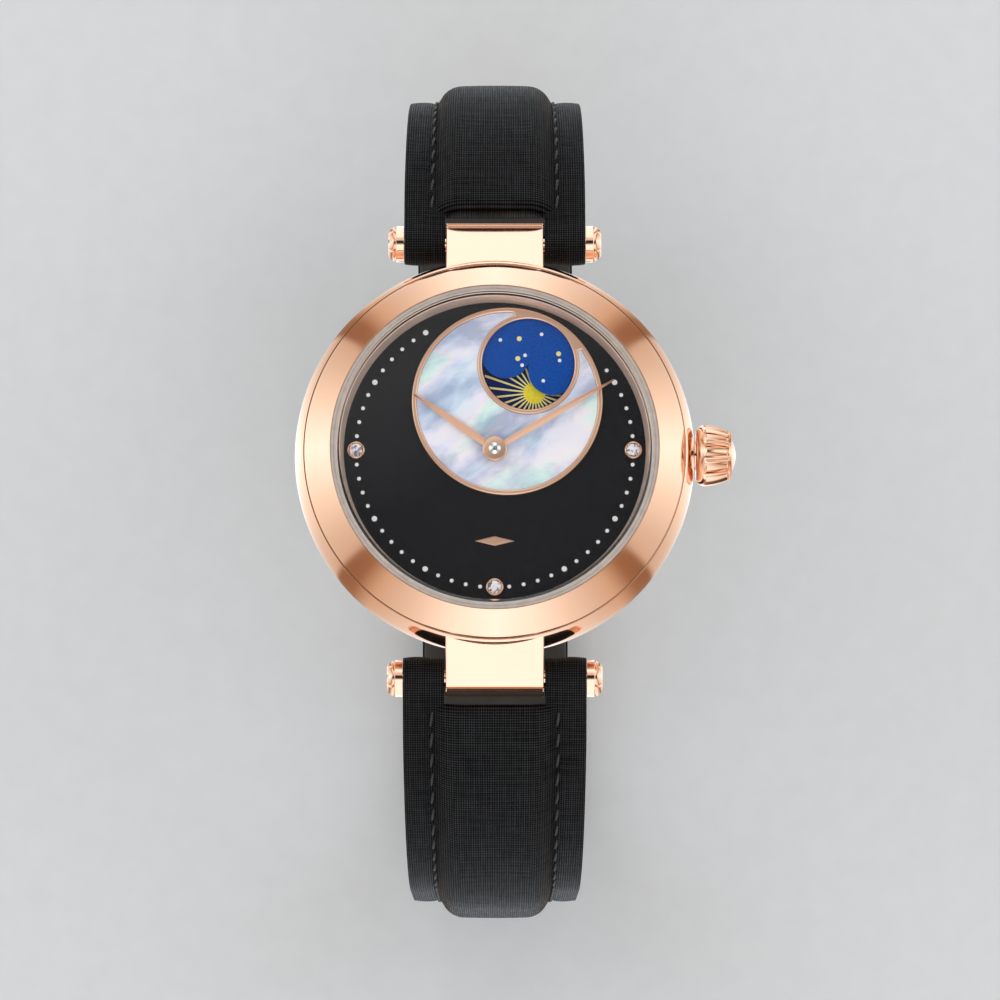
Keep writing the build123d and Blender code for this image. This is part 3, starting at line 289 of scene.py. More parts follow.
def mother_of_pearl():
    """Cloudy layers of shell, warped as the nacre grows."""
    finish = Finish("mother_of_pearl", (1, 1, 1), Roughness=0.24)
    finish.set(Coat_Weight=0.6, Coat_Roughness=0.08)
    turned = finish.mapped(finish.place(), rotation=(0, 0, -0.55))
    turned = finish.mapped(turned, scale=(0.5, 1.0, 1.0))
    drift = finish.noise(160.0, 2.0, turned, output="Color")
    warp = finish.node("VectorMath", (drift, PEARL_DRIFT, turned), operation="MULTIPLY_ADD")
    cloud = finish.noise(360.0, 5.0, warp.outputs[0], 0.58, 0.15)
    tone = finish.ramp(cloud, PEARL_TONES)
    tint = finish.ramp(finish.noise(230.0, 3.0, warp.outputs[0], 0.5, 0.3), PEARL_TINTS)
    mix = finish.node("Mix", {0: 0.85, 6: tone, 7: tint}, data_type="RGBA", blend_type="MULTIPLY")
    finish.set(Base_Color=mix.outputs[2])
    finish.bump(cloud, 0.00002, 0.25)
    return finish.material


def faceted_stone():
    """A cut stone whose base colour is broken into bright and dark cells, as painted glints."""
    finish = Finish("clear_stone_painted_glints", (1, 1, 1), Roughness=0.06, Coat_Weight=1.0)
    glints = finish.node("SeparateXYZ", (finish.cells(4200.0).outputs["Color"],))
    finish.set(Base_Color=finish.ramp(glints.outputs[0], PAINTED_STONE_GLINTS))
    return finish.material


def enamel(name, dark, light):
    return tinted(name, dark, light, 0.3, 6000.0, Specular_IOR_Level=0.06)


def metal(name, dark, light, roughness):
    """Plain metal with a faint grain."""
    finish = Finish(name, light, Metallic=1.0)
    grain = finish.noise(900.0, 4.0)
    finish.vary(grain, dark, light)
    finish.set(Roughness=finish.ranged(grain, *roughness))
    return finish.material


def circular_grain(name, colour, pitch=0.9):
    """Overlapping polished spots in rows, as on a movement's plates."""
    finish = Finish(name, colour, Metallic=1.0)
    spots = finish.cells(1.0 / (pitch * MM), Randomness=0.12).outputs["Distance"]
    wave = finish.math("SINE", finish.math("MULTIPLY", spots, 46.0))
    finish.set(Roughness=finish.ranged(wave, 0.22, 0.34, -1.0))
    finish.vary(spots, colour, tuple(0.8 * part for part in colour))
    finish.bump(wave, 0.00001, 0.35)
    return finish.material


def striped(name, colour, pitch=1.1, turn=0.7):
    """Broad parallel stripes of fine brushing, as on bridges and rotors."""
    finish = Finish(name, colour, Metallic=1.0)
    place = finish.mapped(finish.place(), rotation=(0, 0, turn))
    values = {"Scale": 1.0 / (pitch * MM) / TURN * 2, "Vector": place}
    wave = finish.node("TexWave", values, bands_direction="X", wave_profile="SAW")
    dark = tuple(0.72 * part for part in colour)
    finish.set(Base_Color=finish.ramp(wave.outputs["Fac"], [(0.0, dark), (1.0, colour)]))
    brush = finish.noise(2400.0, 3.0, finish.mapped(place, (0.05, 1.0, 1.0)))
    finish.set(Roughness=finish.ranged(brush, 0.2, 0.36))
    return finish.material


def woven_satin():
    """Black cloth whose UV map is in millimetres across and along the strap."""
    finish = Finish("black_woven_satin", BLACK, Specular_IOR_Level=0.08)
    split = finish.node("SeparateXYZ", (finish.place("UV"),))
    threads = []
    for axis in split.outputs[:2]:
        turn = finish.math("MULTIPLY", axis, math.pi / THREAD_PITCH)
        round_top = finish.math("ABSOLUTE", finish.math("SINE", turn))
        threads.append(finish.math("POWER", round_top, 1.3))
    both = finish.math("MULTIPLY", *threads)
    slubs = []
    for scale, detail, stretch in ((1.6, 3.0, (3.0, 0.22, 1.0)), (1.3, 2.0, (0.2, 3.2, 1.0))):
        slubs.append(finish.noise(scale, detail, finish.mapped(finish.place("UV"), stretch), 0.6))
    uneven = finish.ranged(finish.math("ADD", *slubs), 0.35, 1.5, 0.6, 1.4)
    # the thread crowns are painted lighter in the base colour, a painted sheen, made uneven by
    # random slubs in the yarn; the same mix sets the roughness
    painted_sheen_and_slubs = finish.math("MULTIPLY", both, uneven)
    finish.set(Base_Color=finish.ramp(painted_sheen_and_slubs, PAINTED_SATIN_SHEEN))
    finish.set(Roughness=finish.ranged(painted_sheen_and_slubs, 0.62, 0.30))
    finish.bump(both, 0.00005, 0.9)
    return finish.material


def calf_lining():
    finish = Finish("dark_calf_lining", (0.030, 0.026, 0.024), Roughness=0.55)
    finish.vary(finish.noise(300.0, 3.0), (0.022, 0.019, 0.017), (0.040, 0.035, 0.031))
    pores = finish.cells(2200.0, "DISTANCE_TO_EDGE")
    finish.bump(pores.outputs["Distance"], 0.00004, 0.5)
    return finish.material


def twisted_thread():
    finish = Finish("black_thread", (0.01, 0.01, 0.01), Roughness=0.45)
    values = {"Scale": 2600.0, "Vector": finish.place()}
    lay = finish.node("TexWave", values, bands_direction="DIAGONAL").outputs["Fac"]
    finish.vary(lay, (0.003, 0.003, 0.003), (0.05, 0.05, 0.052))
    finish.bump(lay, 0.00004, 0.8)
    return finish.material


def tinted(name, dark, light, roughness=0.5, scale=1500.0, detail=3.0, **values):
    """A plain finish whose colour varies a little, as gaskets, enamel and print do."""
    finish = Finish(name, light, Roughness=roughness, **values)
    finish.vary(finish.noise(scale, detail), dark, light)
    return finish.material


def as_mesh(bm, name):
    mesh = bpy.data.meshes.new(name)
    bm.to_mesh(mesh)
    bm.free()
    return mesh


PAINT = {
    "rose_gold": rose_gold(),
    "satin_gold": rose_gold("rose_gold_satin", (0.26, 0.34)),
    # a lighter copy of rose gold for the inner ring, so that it looks brightly lit: painted
    # light; its higher roughness is a real satin finish
    "painted_bright_gold": metal("rose_gold_ring_painted_lighter", (0.92, 0.70, 0.58), (0.97, 0.76, 0.64), (0.5, 0.6)),
    "ground_edge": tinted("ground_crystal_edge", (0.50, 0.43, 0.38), (0.60, 0.52, 0.46)),
    "sapphire": clear_glass("sapphire_clear", 1.30),
    "stone": faceted_stone(),
    "black_dial": black_lacquer(),
    "pearl": mother_of_pearl(),
    "star_blue": enamel("blue_enamel", (0.001, 0.050, 0.28), (0.003, 0.085, 0.42)),
    "navy": enamel("navy_enamel", (0.001, 0.005, 0.07), (0.002, 0.011, 0.12)),
    "yellow": enamel("yellow_enamel", (0.80, 0.62, 0.02), (0.92, 0.76, 0.06)),
    "pale_yellow": enamel("pale_yellow_enamel", (0.80, 0.68, 0.20), (0.92, 0.82, 0.34)),
    "steel": metal("polished_steel", (0.70, 0.71, 0.73), (0.80, 0.81, 0.82), (0.08, 0.16)),
    "nickel": circular_grain("grained_nickel", (0.70, 0.69, 0.66)),
    "bridge": striped("striped_nickel", (0.72, 0.71, 0.68)),
    "gilt": metal("gilt_brass", (0.68, 0.48, 0.20), (0.82, 0.62, 0.28), (0.2, 0.32)),
    "rotor": striped("striped_gilt", (0.84, 0.60, 0.34), 1.4, 0.2),
    "cloth": woven_satin(),
    "lining": calf_lining(),
    "thread": twisted_thread(),
    "pale_seal": tinted("pale_gasket", (0.50, 0.43, 0.38), (0.60, 0.52, 0.46)),
    "dark_seal": tinted("dark_gasket", (0.02, 0.02, 0.02), (0.04, 0.04, 0.04)),
    "white": tinted("white_print", (0.82,) * 3, (0.92,) * 3, 0.35, 3000.0, 2.0),
}


# general shaping
def made(
    name, bm, paint="rose_gold", body="case", slot=None, angle=EDGE_ANGLE, even=True, node=None
):
    """A finished piece on its body, from a bmesh in metres that is already in place."""
    mesh = as_mesh(bm, name)
    mesh.shade_smooth()
    mesh.set_sharp_from_angle(angle=math.radians(angle))
    mesh.materials.append(PAINT[paint])
    obj = link(bpy.data.objects.new(name, mesh))
    if even:
        weighted = obj.modifiers.new("even_normals", "WEIGHTED_NORMAL")
        weighted.keep_sharp = True
    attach(obj, body)
    if node:
        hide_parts(node)
    return obj


def between(start, end, count):
    """Evenly spaced numbers from start to end."""
    return [start + (end - start) * number / count for number in range(count + 1)]


def circle_point(angle, radius=1.0):
    return radius * Vector((math.cos(angle), math.sin(angle)))


def lifted(bm, x=0.0, y=0.0, height=0.0):
    """Moves a bmesh from millimetres about the dial's centre to metres in the frame."""
    shift = Matrix.Translation(Vector((x, y, height + DIAL_HEIGHT)) * MM)
    bm.transform(shift @ Matrix.Scale(MM, 4))
    return bm


def arc_points(start, end, rise, count):
    """Points from start to end on an arc that bulges to the left by rise."""
    chord = Vector(end) - Vector(start)
    half = chord.length / 2
    radius = (half * half + rise * rise) / (2 * abs(rise))
    side = Vector((-chord.y, chord.x)).normalized() * (1 if rise > 0 else -1)
    centre = (Vector(start) + Vector(end)) / 2 + side * (abs(rise) - radius)
    sweep = 2 * math.asin(min(1.0, half / radius)) * (-1 if rise > 0 else 1)
    first = Vector(start) - centre
    return [centre + Matrix.Rotation(turn, 2) @ first for turn in between(0, sweep, count)]


def new_verts(grown):
    return [item for item in grown["geom"] if isinstance(item, bmesh.types.BMVert)]


def block(corners, vector):
    """A flat outline drawn out along a vector to a closed block."""
    bm = bmesh.new()
    face = bm.faces.new([bm.verts.new(corner) for corner in corners])
    grown = bmesh.ops.extrude_face_region(bm, geom=[face], use_keep_orig=True)
    bmesh.ops.translate(bm, verts=new_verts(grown), vec=vector)
    bmesh.ops.recalc_face_normals(bm, faces=bm.faces)
    return bm


def second_skin(bm):
    """Draws all faces out to a second layer, and gives the verts of both."""
    top = list(bm.verts)
    grown = bmesh.ops.extrude_face_region(bm, geom=list(bm.faces), use_keep_orig=True)
    return top, new_verts(grown)


def profile_edges(bm, points, rounds=None, closed=True):
    """Edges of a (radius, height) outline, with the corners named in rounds rounded off."""
    verts = [bm.verts.new((radius, 0, height)) for radius, height in points]
    if not closed:
        return [bm.edges.new(pair) for pair in zip(verts, verts[1:])]
    bm.faces.new(verts)
    for index, (size, segments) in (rounds or {}).items():
        rounded(bm, [verts[index]], size, segments, "VERTICES", False)
    face = next(iter(bm.faces))
    edges = list(face.edges)
    bmesh.ops.delete(bm, geom=[face], context="FACES_ONLY")
    return edges


def lathed(points, rounds=None, steps=FULL_STEPS, closed=True):
    """A bmesh turned about the vertical axis from a (radius, height) outline."""
    bm = bmesh.new()
    edges = profile_edges(bm, points, rounds, closed)
    geom = edges + list(dict.fromkeys(vert for edge in edges for vert in edge.verts))
    bmesh.ops.spin(
        bm, geom=geom, cent=(0, 0, 0), axis=(0, 0, 1), angle=TURN, steps=steps, use_merge=True
    )
    bmesh.ops.remove_doubles(bm, verts=bm.verts, dist=0.0005)
    bmesh.ops.recalc_face_normals(bm, faces=bm.faces)
    return bm


def rounded(bm, geom, size, segments, affect="EDGES", clamp=True):
    bmesh.ops.bevel(
        bm, geom=geom, offset=size, offset_type="OFFSET", segments=segments, profile=0.5,
        affect=affect, clamp_overlap=clamp, material=-1,
    )


ALONG_X = Matrix.Rotation(math.radians(90), 4, "Y")


def merged_copy(node, paint, body):
    """The CAD piece with its facets joined, so that its curved faces shade smoothly."""
    bm = bmesh.new()
    bm.from_mesh(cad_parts[node].data)
    bmesh.ops.remove_doubles(bm, verts=bm.verts, dist=0.000001)
    made(node + "_finished", bm, paint, body, angle=25, node=node)


def joined(name, parts, *settings, **more):
    """Several bmeshes as one piece."""
    whole = bmesh.new()
    for part in parts:
        mesh = as_mesh(part, "part")
        whole.from_mesh(mesh)
        bpy.data.meshes.remove(mesh)
    return made(name, whole, *settings, **more)


def carved(obj, cutters, angle=EDGE_ANGLE):
    """Cuts the cutters out of obj and removes them."""
    steps = []
    for cutter in cutters:
        step = obj.modifiers.new("cut", "BOOLEAN")
        step.operation = "DIFFERENCE"
        step.solver = "EXACT"
        step.object = cutter
        steps.append(step)
    graph = bpy.context.evaluated_depsgraph_get()
    mesh = bpy.data.meshes.new_from_object(obj.evaluated_get(graph))
    for step in steps:
        obj.modifiers.remove(step)
    old = obj.data
    obj.data = mesh
    bpy.data.meshes.remove(old)
    for cutter in cutters:
        bpy.data.objects.remove(cutter)
    mesh.set_sharp_from_angle(angle=math.radians(angle))


def rod(radius, length, matrix, steps):
    bm = bmesh.new()
    size = {"radius1": radius, "radius2": radius, "depth": length}
    bmesh.ops.create_cone(bm, cap_ends=True, segments=steps, matrix=matrix, **size)
    return bm


def rod_cutter(radius, length, matrix, steps):
    return as_cutter(rod(radius, length, matrix, steps))


def as_cutter(bm, *place):
    """A passing object that cuts a shape, from a bmesh in millimetres."""
    return link(bpy.data.objects.new("cutter", as_mesh(lifted(bm, *place), "cutter")))


# case band, bezel and crystal
CASE_WIDEST = (17.5, -2.5)
CASE_TOP = (16.8, 0.35)
CASE_FOOT = (15.95, -6.1)
CASE_STEPS = 10
CASE_ROUNDS = {0: (0.12, 3), 2 * CASE_STEPS: (0.15, 3)}
BORE_RADIUS = 14.6
SEAT = (15.9, -0.6)
BEZEL_OUTER = (16.6, 0.5)
BEZEL_RIM = (14.3, 2.5)
BEZEL_CROWN = 0.28
BEZEL_STEPS = 14
BEZEL_ROUNDS = {0: (0.05, 3), BEZEL_STEPS: (0.08, 3)}
BEZEL_LIP = 13.6
BEZEL_TENON = (15.85, 14.5)
BEZEL_FOOT = 0.05
LEDGE_HEIGHT = 1.4
CRYSTAL_RADIUS = 14.0
CRYSTAL_EDGE_HEIGHT = 2.3
CRYSTAL_BEVEL = (13.5, 2.72)
CRYSTAL_CREST = 3.0
CRYSTAL_BULGE = 0.07
GROUND_START = 13.72
GASKET_HEIGHT = 2.35
FLANGE_INNER = (13.12, 13.46)
FLANGE_OUTER = 13.55
FLANGE_HEIGHT = 1.35
CORRECTOR_ANGLE = 24.0
CORRECTOR_DEPTH = 1.9
CORRECTOR_HOLE = (0.55, 2.4)
STEM_DEPTH = 2.25
TUBE_COLLAR = (1.8, 17.0, 17.45)
TUBE_FOOT = (1.3, 15.2)
TUBE_NECK = (1.0, 19.5)
TUBE_BORE = 0.6


def quarter(widest, end):
    """Points from the widest point to end, leaving it straight up or down."""
    run = widest[0] - end[0]
    rise = end[1] - widest[1]
    radius = (run * run + rise * rise) / (2 * run)
    centre = Vector((widest[0] - radius, widest[1]))
    sweep = math.asin(rise / radius)
    return [centre + circle_point(angle, radius) for angle in between(0, sweep, CASE_STEPS)[1:]]


def add_case_band():
    upper = quarter(CASE_WIDEST, CASE_TOP)
    lower = quarter(CASE_WIDEST, CASE_FOOT)
    outline = [*reversed(upper), CASE_WIDEST, *lower, (BORE_RADIUS, CASE_FOOT[1])]
    outline += [(BORE_RADIUS, SEAT[1]), SEAT, (SEAT[0], CASE_TOP[1])]
    bm = lathed(outline, CASE_ROUNDS)
    band = made("case_band", lifted(bm), node="case_body")
    cutters = []
    for side in (1, -1):
        out = circle_point(math.radians(90 - side * CORRECTOR_ANGLE)).to_3d()
        turn = out.to_track_quat("Z", "Y").to_matrix().to_4x4()
        place = Matrix.Translation(out * CASE_WIDEST[0] + Vector((0, 0, -CORRECTOR_DEPTH)))
        cutters.append(rod_cutter(*CORRECTOR_HOLE, place @ turn, 40))
    place = Matrix.Translation(Vector((CASE_WIDEST[0], 0, -STEM_DEPTH))) @ ALONG_X
    wide = 2 * (CASE_WIDEST[0] - TUBE_COLLAR[1])
    cutters.append(rod_cutter(TUBE_COLLAR[0], wide, place, 64))
    cutters.append(rod_cutter(TUBE_FOOT[0], 6.0, place, 48))
    carved(band, cutters)


def add_bezel():
    crown = arc_points(BEZEL_RIM, BEZEL_OUTER, BEZEL_CROWN, BEZEL_STEPS)
    outer, inner = BEZEL_TENON
    outline = [*crown, (outer, BEZEL_OUTER[1]), (outer, SEAT[1]), (inner, SEAT[1])]
    outline += [(inner, BEZEL_FOOT), (BEZEL_LIP, BEZEL_FOOT), (BEZEL_LIP, LEDGE_HEIGHT)]
    outline.append((BEZEL_RIM[0], LEDGE_HEIGHT))
    bm = lathed(outline, BEZEL_ROUNDS)
    made("bezel_polished", lifted(bm), node="bezel")


def add_crystal():
    dome = arc_points((0, CRYSTAL_CREST), CRYSTAL_BEVEL, CRYSTAL_BULGE, 10)
    share = (GROUND_START - CRYSTAL_BEVEL[0]) / (CRYSTAL_RADIUS - CRYSTAL_BEVEL[0])
    drop = share * (CRYSTAL_BEVEL[1] - CRYSTAL_EDGE_HEIGHT)
    outline = [*dome, (GROUND_START, CRYSTAL_BEVEL[1] - drop)]
    outline += [(CRYSTAL_RADIUS, CRYSTAL_EDGE_HEIGHT), (CRYSTAL_RADIUS, LEDGE_HEIGHT)]
    bm = lathed([*outline, (0, LEDGE_HEIGHT)], closed=False)
    for face in bm.faces:
        middle = face.calc_center_median()
        if middle.xy.length > GROUND_START and middle.z > LEDGE_HEIGHT + 0.1:
            face.material_index = 1
    obj = made("crystal_clear", lifted(bm), "sapphire", angle=12, node="crystal")
    obj.data.materials.append(PAINT["ground_edge"])

    ring = square_ring(CRYSTAL_RADIUS, BEZEL_RIM[0], LEDGE_HEIGHT, GASKET_HEIGHT)
    bm = lathed(ring, {2: (0.08, 2), 3: (0.08, 2)})
    made("crystal_seal", lifted(bm), "pale_seal", node="crystal_gasket")

    wall = square_ring(FLANGE_INNER[0], FLANGE_OUTER, 0, FLANGE_HEIGHT)
    wall[3] = (FLANGE_INNER[1], FLANGE_HEIGHT)
    # the inner ring is painted in the lighter gold copy, a painted brightness
    made("inner_ring", lifted(lathed(wall, {3: (0.06, 2)})), "painted_bright_gold", node="flange_ring")


def square_ring(inner, outer, low, high):
    """The outline of a plain ring."""
    return [(inner, low), (outer, low), (outer, high), (inner, high)]


# lugs and screw bars
PIN_Y = 19.4
PIN_HEIGHT = -4.3
LUG_WIDTH = 8.53
LUG_ROOT = 15.0
LUG_TOP = (16.2, 0.3)
KNUCKLE_RADIUS = 1.6
PLATE_END = (20.45, -2.35)
PLATE_SLOPE = 27.0
LIP = (20.51, 20.71, 20.88, 0.24)
LIP_SLOPES = (0.04, 0.03)
LUG_ROUND = 0.28
PLATE_ROUND = 0.06
HEAD_START = 8.05
COLLAR = (1.6, 0.7)
NECK = (1.35, 0.08)
HEAD_CHAMFERS = (0.06, 0.03)
HEAD_BULGE = -0.09
HEAD_STEPS = 160
HEAD_RADIUS = 1.5
HEAD_DOME = 0.45
HEAD_FLAT = 0.95
BAR_END = 9.4
FLUTES = 10
FLUTE_DEPTH = 0.1
FLUTE_SHARPNESS = 24
SLOT = (0.3, 0.32)
BAR_RADIUS = 0.75


def lug_outline():
    """The lug's side view, as (y, height) points."""
    chord = Vector(PLATE_END) - Vector(LUG_TOP)
    lean = math.radians(-PLATE_SLOPE) - math.atan2(chord.y, chord.x)
    rise = chord.length / 2 * math.tan(lean / 2)
    points = arc_points(LUG_TOP, PLATE_END, rise, 12)
    groove, lip_start, lip_end, depth = LIP
    low = PLATE_END[1] - depth
    back_slope, front_slope = LIP_SLOPES
    points += [(groove, low), (lip_start - back_slope, low), (lip_start, PLATE_END[1])]
    points += [(lip_end - front_slope, PLATE_END[1]), (lip_end, low)]
    first = math.acos((lip_end - PIN_Y) / KNUCKLE_RADIUS)
    for angle in between(first, -math.pi / 2, 16):
        points.append(Vector((PIN_Y, PIN_HEIGHT)) + circle_point(angle, KNUCKLE_RADIUS))
    return points + [(LUG_ROOT, CASE_FOOT[1]), (LUG_ROOT, LUG_TOP[1])]


def add_lugs():
    for name, turn in (("lug_12", 0.0), ("lug_6", math.pi)):
        side = [(-LUG_WIDTH / 2, *point) for point in lug_outline()]
        bm = block(side, (LUG_WIDTH, 0, 0))
        sides = [e for e in bm.edges if abs(e.verts[0].co.x - e.verts[1].co.x) < 0.01]
        rounded(bm, sides, LUG_ROUND, 5)
        tip = {v for v in bm.verts if (v.co.yz - Vector(PLATE_END)).length < 0.01}
        ends = [edge for edge in bm.edges if tip.issuperset(edge.verts)]
        rounded(bm, ends, PLATE_ROUND, 3)
        bm.transform(Matrix.Rotation(turn, 4, "Z"))
        made(name, lifted(bm))


def pulled_in(vert, scale):
    vert.co.x *= scale
    vert.co.y *= scale


def head_mesh(direction):
    """The domed and fluted head on one end of a screw bar, about the bar's own middle."""
    collar_end = HEAD_START + COLLAR[1]
    neck_end = collar_end + NECK[1]
    dome_start = (HEAD_RADIUS, BAR_END - HEAD_DOME)
    dome = arc_points(dome_start, (HEAD_FLAT, BAR_END), HEAD_BULGE, 8)
    wide, small = HEAD_CHAMFERS
    outline = [(0, HEAD_START), (COLLAR[0], HEAD_START), (COLLAR[0], collar_end - wide)]
    outline += [(COLLAR[0] - wide, collar_end), (NECK[0], collar_end), (NECK[0], neck_end)]
    outline += [(HEAD_RADIUS - small, neck_end), (HEAD_RADIUS, neck_end + small)]
    bm = lathed([*outline, *dome, (0, BAR_END)], steps=HEAD_STEPS, closed=False)
    for vert in bm.verts:
        if vert.co.z > neck_end - 0.01 and vert.co.xy.length > HEAD_FLAT - 0.02:
            around = math.atan2(vert.co.y, vert.co.x)
            notch = max(0.0, math.cos(FLUTES * around / 2)) ** FLUTE_SHARPNESS
            pulled_in(vert, 1 - FLUTE_DEPTH * notch)
    bm.transform(ALONG_X)
    if direction < 0:
        bm.transform(Matrix.Rotation(math.pi, 4, "Z"))
    return bm


def add_screw_bars():
    for name, side in (("12", 1), ("6", -1)):
        pin = (side * PIN_Y, PIN_HEIGHT)
        shank = rod(BAR_RADIUS, 2 * (HEAD_START - 0.01), ALONG_X, 40)
        parts = [lifted(head_mesh(-1), 0, *pin), lifted(shank, 0, *pin)]
        bar = joined("screw_bar_" + name, parts, angle=28, node="lug_bar_" + name)
        slot = bmesh.new()
        size = (2 * SLOT[0], SLOT[1], 4 * HEAD_RADIUS, 1)
        bmesh.ops.create_cube(slot, size=1.0, matrix=Matrix.Diagonal(size))
        carved(bar, [as_cutter(slot, -BAR_END, *pin)], 28)
        nut = lifted(head_mesh(1), 0, *pin)
        made("screw_nut_" + name, nut, angle=28, node="bar_nut_" + name)


# dial
BIG_CIRCLE = (4.465, 14.1, 8.31, 0.42)
APERTURE = (8.145, 21.05, 4.03, 0.4)
FRAME_HEIGHT = 0.28
WEB_HALF_ANGLE = 45.0
OPENING_STEPS = 96
FRAME_ROUND = 0.11
DOT_DISTANCE = 12.05
DOT_RADIUS = 0.17
FIVE_MINUTE_RADIUS = 0.24
DOT_HEIGHT = 0.05
FIRST_DOT = 9
LAST_DOT = 55
GEM_MINUTES = (15, 30, 45)
GEM_CUP = (0.6, 0.75, 0.3)
GEM_RADIUS = 0.57
GEM_TABLE = 0.32
GEM_GIRDLE = 0.24
GEM_TOP = 0.42
BEAD = (0.1, 0.6, 4)
LOZENGE = (8.0, 1.7, 0.42, 0.22)
LOZENGE_BEVEL = 0.12
PHOTO_SCALE = 11.49
PHOTO_CENTRE = (494.7, 451.0)


def clock_place(distance, degrees):
    angle = math.radians(90 - degrees)
    return Vector((distance * math.cos(angle), distance * math.sin(angle)))


def photo_place(pixel_x, pixel_y):
    """The place on the dial that a pixel of the photograph shows."""
    tilt = math.cos(math.radians(CAMERA_TILT))
    return (
        (pixel_x - PHOTO_CENTRE[0]) / PHOTO_SCALE,
        (PHOTO_CENTRE[1] - pixel_y) / PHOTO_SCALE / tilt,
    )


def softened(obj, width):
    """Rounds the sharp edges of a finished piece."""
    step = obj.modifiers.new("rounded_edges", "BEVEL")
    step.width = width * MM
    step.segments = 3
    step.limit_method = "ANGLE"
    step.angle_limit = math.radians(SHARP_ANGLE)
    step.harden_normals = False
    obj.modifiers.move(len(obj.modifiers) - 1, 0)


def ray_end(start, out, centre, radius):
    """Where a ray from start leaves a circle round centre."""
    away = start - centre
    half = away.dot(out)
    return start + out * (math.sqrt(half * half - away.length_squared + radius ** 2) - half)


def crescent_opening():
    """A cutter in the shape of the pearl, with blunt horns."""
    distance, degrees, big, rim = BIG_CIRCLE
    centre = clock_place(distance, degrees)
    window = clock_place(*APERTURE[:2])
    facing = math.atan2(window.y - centre.y, window.x - centre.x)
    half = math.radians(WEB_HALF_ANGLE)
    ring = APERTURE[2] + APERTURE[3]
    turns = between(0, TURN - 2 * half, OPENING_STEPS)
    points = [window + circle_point(facing + half + turn, ring) for turn in turns]
    ends = []
    for side in (-half, half):
        end = ray_end(window, circle_point(facing + side), centre, big - rim) - centre
        ends.append(math.atan2(end.y, end.x))
    angles = between(ends[0], ends[1] - TURN, OPENING_STEPS)
    points += [centre + circle_point(angle, big - rim) for angle in angles]
    return as_cutter(block([(*point, -1.0) for point in points], (0, 0, 2.0)))


def add_crescent():
    place = Matrix.Translation((*clock_place(*BIG_CIRCLE[:2]), FRAME_HEIGHT / 2))
    bm = rod(BIG_CIRCLE[2], FRAME_HEIGHT, place, 160)
    obj = made("crescent_rims", lifted(bm), "satin_gold", angle=25, node="crescent_frame")
    window = Matrix.Translation((*clock_place(*APERTURE[:2]), 0))
    carved(obj, [rod_cutter(APERTURE[2], 2.0, window, 112), crescent_opening()], 25)
    softened(obj, FRAME_ROUND)


def small_dome(radius, height, steps=20):
    dome = arc_points((radius, height * 0.4), (0, height), -height * 0.1, 2)
    return lathed([(0, 0), (radius, 0), *dome], steps=steps, closed=False)


def add_dots():
    parts = []
    for minute in range(FIRST_DOT, LAST_DOT + 1):
        if minute not in GEM_MINUTES:
            radius = DOT_RADIUS if minute % 5 else FIVE_MINUTE_RADIUS
            bm = small_dome(radius, DOT_HEIGHT)
            parts.append(lifted(bm, *clock_place(DOT_DISTANCE, minute * 6)))
    joined("minute_dots", parts, "white", slot="black_dial")


def brilliant():
    """A round stone with a flat table, kite facets and a pointed pavilion."""
    bm = bmesh.new()
    sides = 16
    rings = []
    for radius, height, count, turn in (
        (GEM_TABLE, GEM_TOP, 8, 0.5),
        (GEM_RADIUS * 0.8, GEM_TOP - 0.07, 8, 0.0),
        (GEM_RADIUS, GEM_GIRDLE, sides, 0.0),
    ):
        ring = []
        for number in range(count):
            place = circle_point(TURN * (number + turn) / count, radius)
            ring.append(bm.verts.new((*place, height)))
        rings.append(ring)
    for ring in rings:
        for first, second in zip(ring, ring[1:] + ring[:1]):
            bm.edges.new((first, second))
    point = bm.verts.new((0, 0, 0.03))
    bmesh.ops.convex_hull(bm, input=[*rings[0], *rings[1], *rings[2], point])
    bmesh.ops.dissolve_limit(bm, angle_limit=0.02, verts=bm.verts, edges=bm.edges)
    bmesh.ops.recalc_face_normals(bm, faces=bm.faces)
    return bm


def add_stones():
    cups, stones = [], []
    inner, outer, height = GEM_CUP
    for minute in GEM_MINUTES:
        place = clock_place(DOT_DISTANCE, minute * 6)
        cup = lathed(square_ring(inner, outer, 0, height), {2: (0.06, 3), 3: (0.05, 2)}, steps=48)
        cups.append(lifted(cup, *place))
        radius, distance, count = BEAD
        for number in range(count):
            bead = bmesh.new()
            bmesh.ops.create_icosphere(bead, subdivisions=2, radius=radius)
            shift = circle_point(TURN * (number + 0.5) / count, distance)
            bmesh.ops.translate(bead, verts=bead.verts, vec=(*shift, height))
            cups.append(lifted(bead, *place))
        stones.append(lifted(brilliant(), *place))
    joined("stone_cups", cups, node="gem_cups")
    joined("brilliants", stones, "stone", angle=2, node="gems")


def add_lozenge():
    distance, half_length, half_width, height = LOZENGE
    corners = ((half_length, 0), (0, half_width), (-half_length, 0), (0, -half_width))
    bm = block([(*corner, 0) for corner in corners], (0, 0, height))
    rim = [e for e in bm.edges if all(v.co.z > height / 2 for v in e.verts)]
    rounded(bm, rim, LOZENGE_BEVEL, 1, clamp=False)
    bm = lifted(bm, 0, -distance)
    made("lozenge_marker", bm, "satin_gold", angle=20, node="dial_lozenge")


# stars on the cover, and the sun and moon under it, by their pixels in the photograph
STAR_PIXELS = (
    (500.3, 339.9, 0), (541.7, 334.2, 0), (525.1, 355.4, 0), (522.1, 365.4, 0),
    (559.7, 360.6, 0), (543.3, 381.1, 0), (519.3, 338.7, 1), (517.8, 358.7, 1),
    (558.7, 353.9, 1),
)
STAR_RADII = (0.16, 0.22)
COVER_TOP = -0.13
SUN_PIXEL = (534.4, 392.2)
SUN_RADIUS = 0.95
SUN_RISE = 1.6
RAY_COUNT = 28
RAY_HALF_WIDTHS = (0.06, 0.105)
RAY_REACH = 4.6
DISC_TOP = -0.6
RAY_HEIGHT = 0.03
RAY_COVER = 0.7
MOON_RADIUS = 1.5


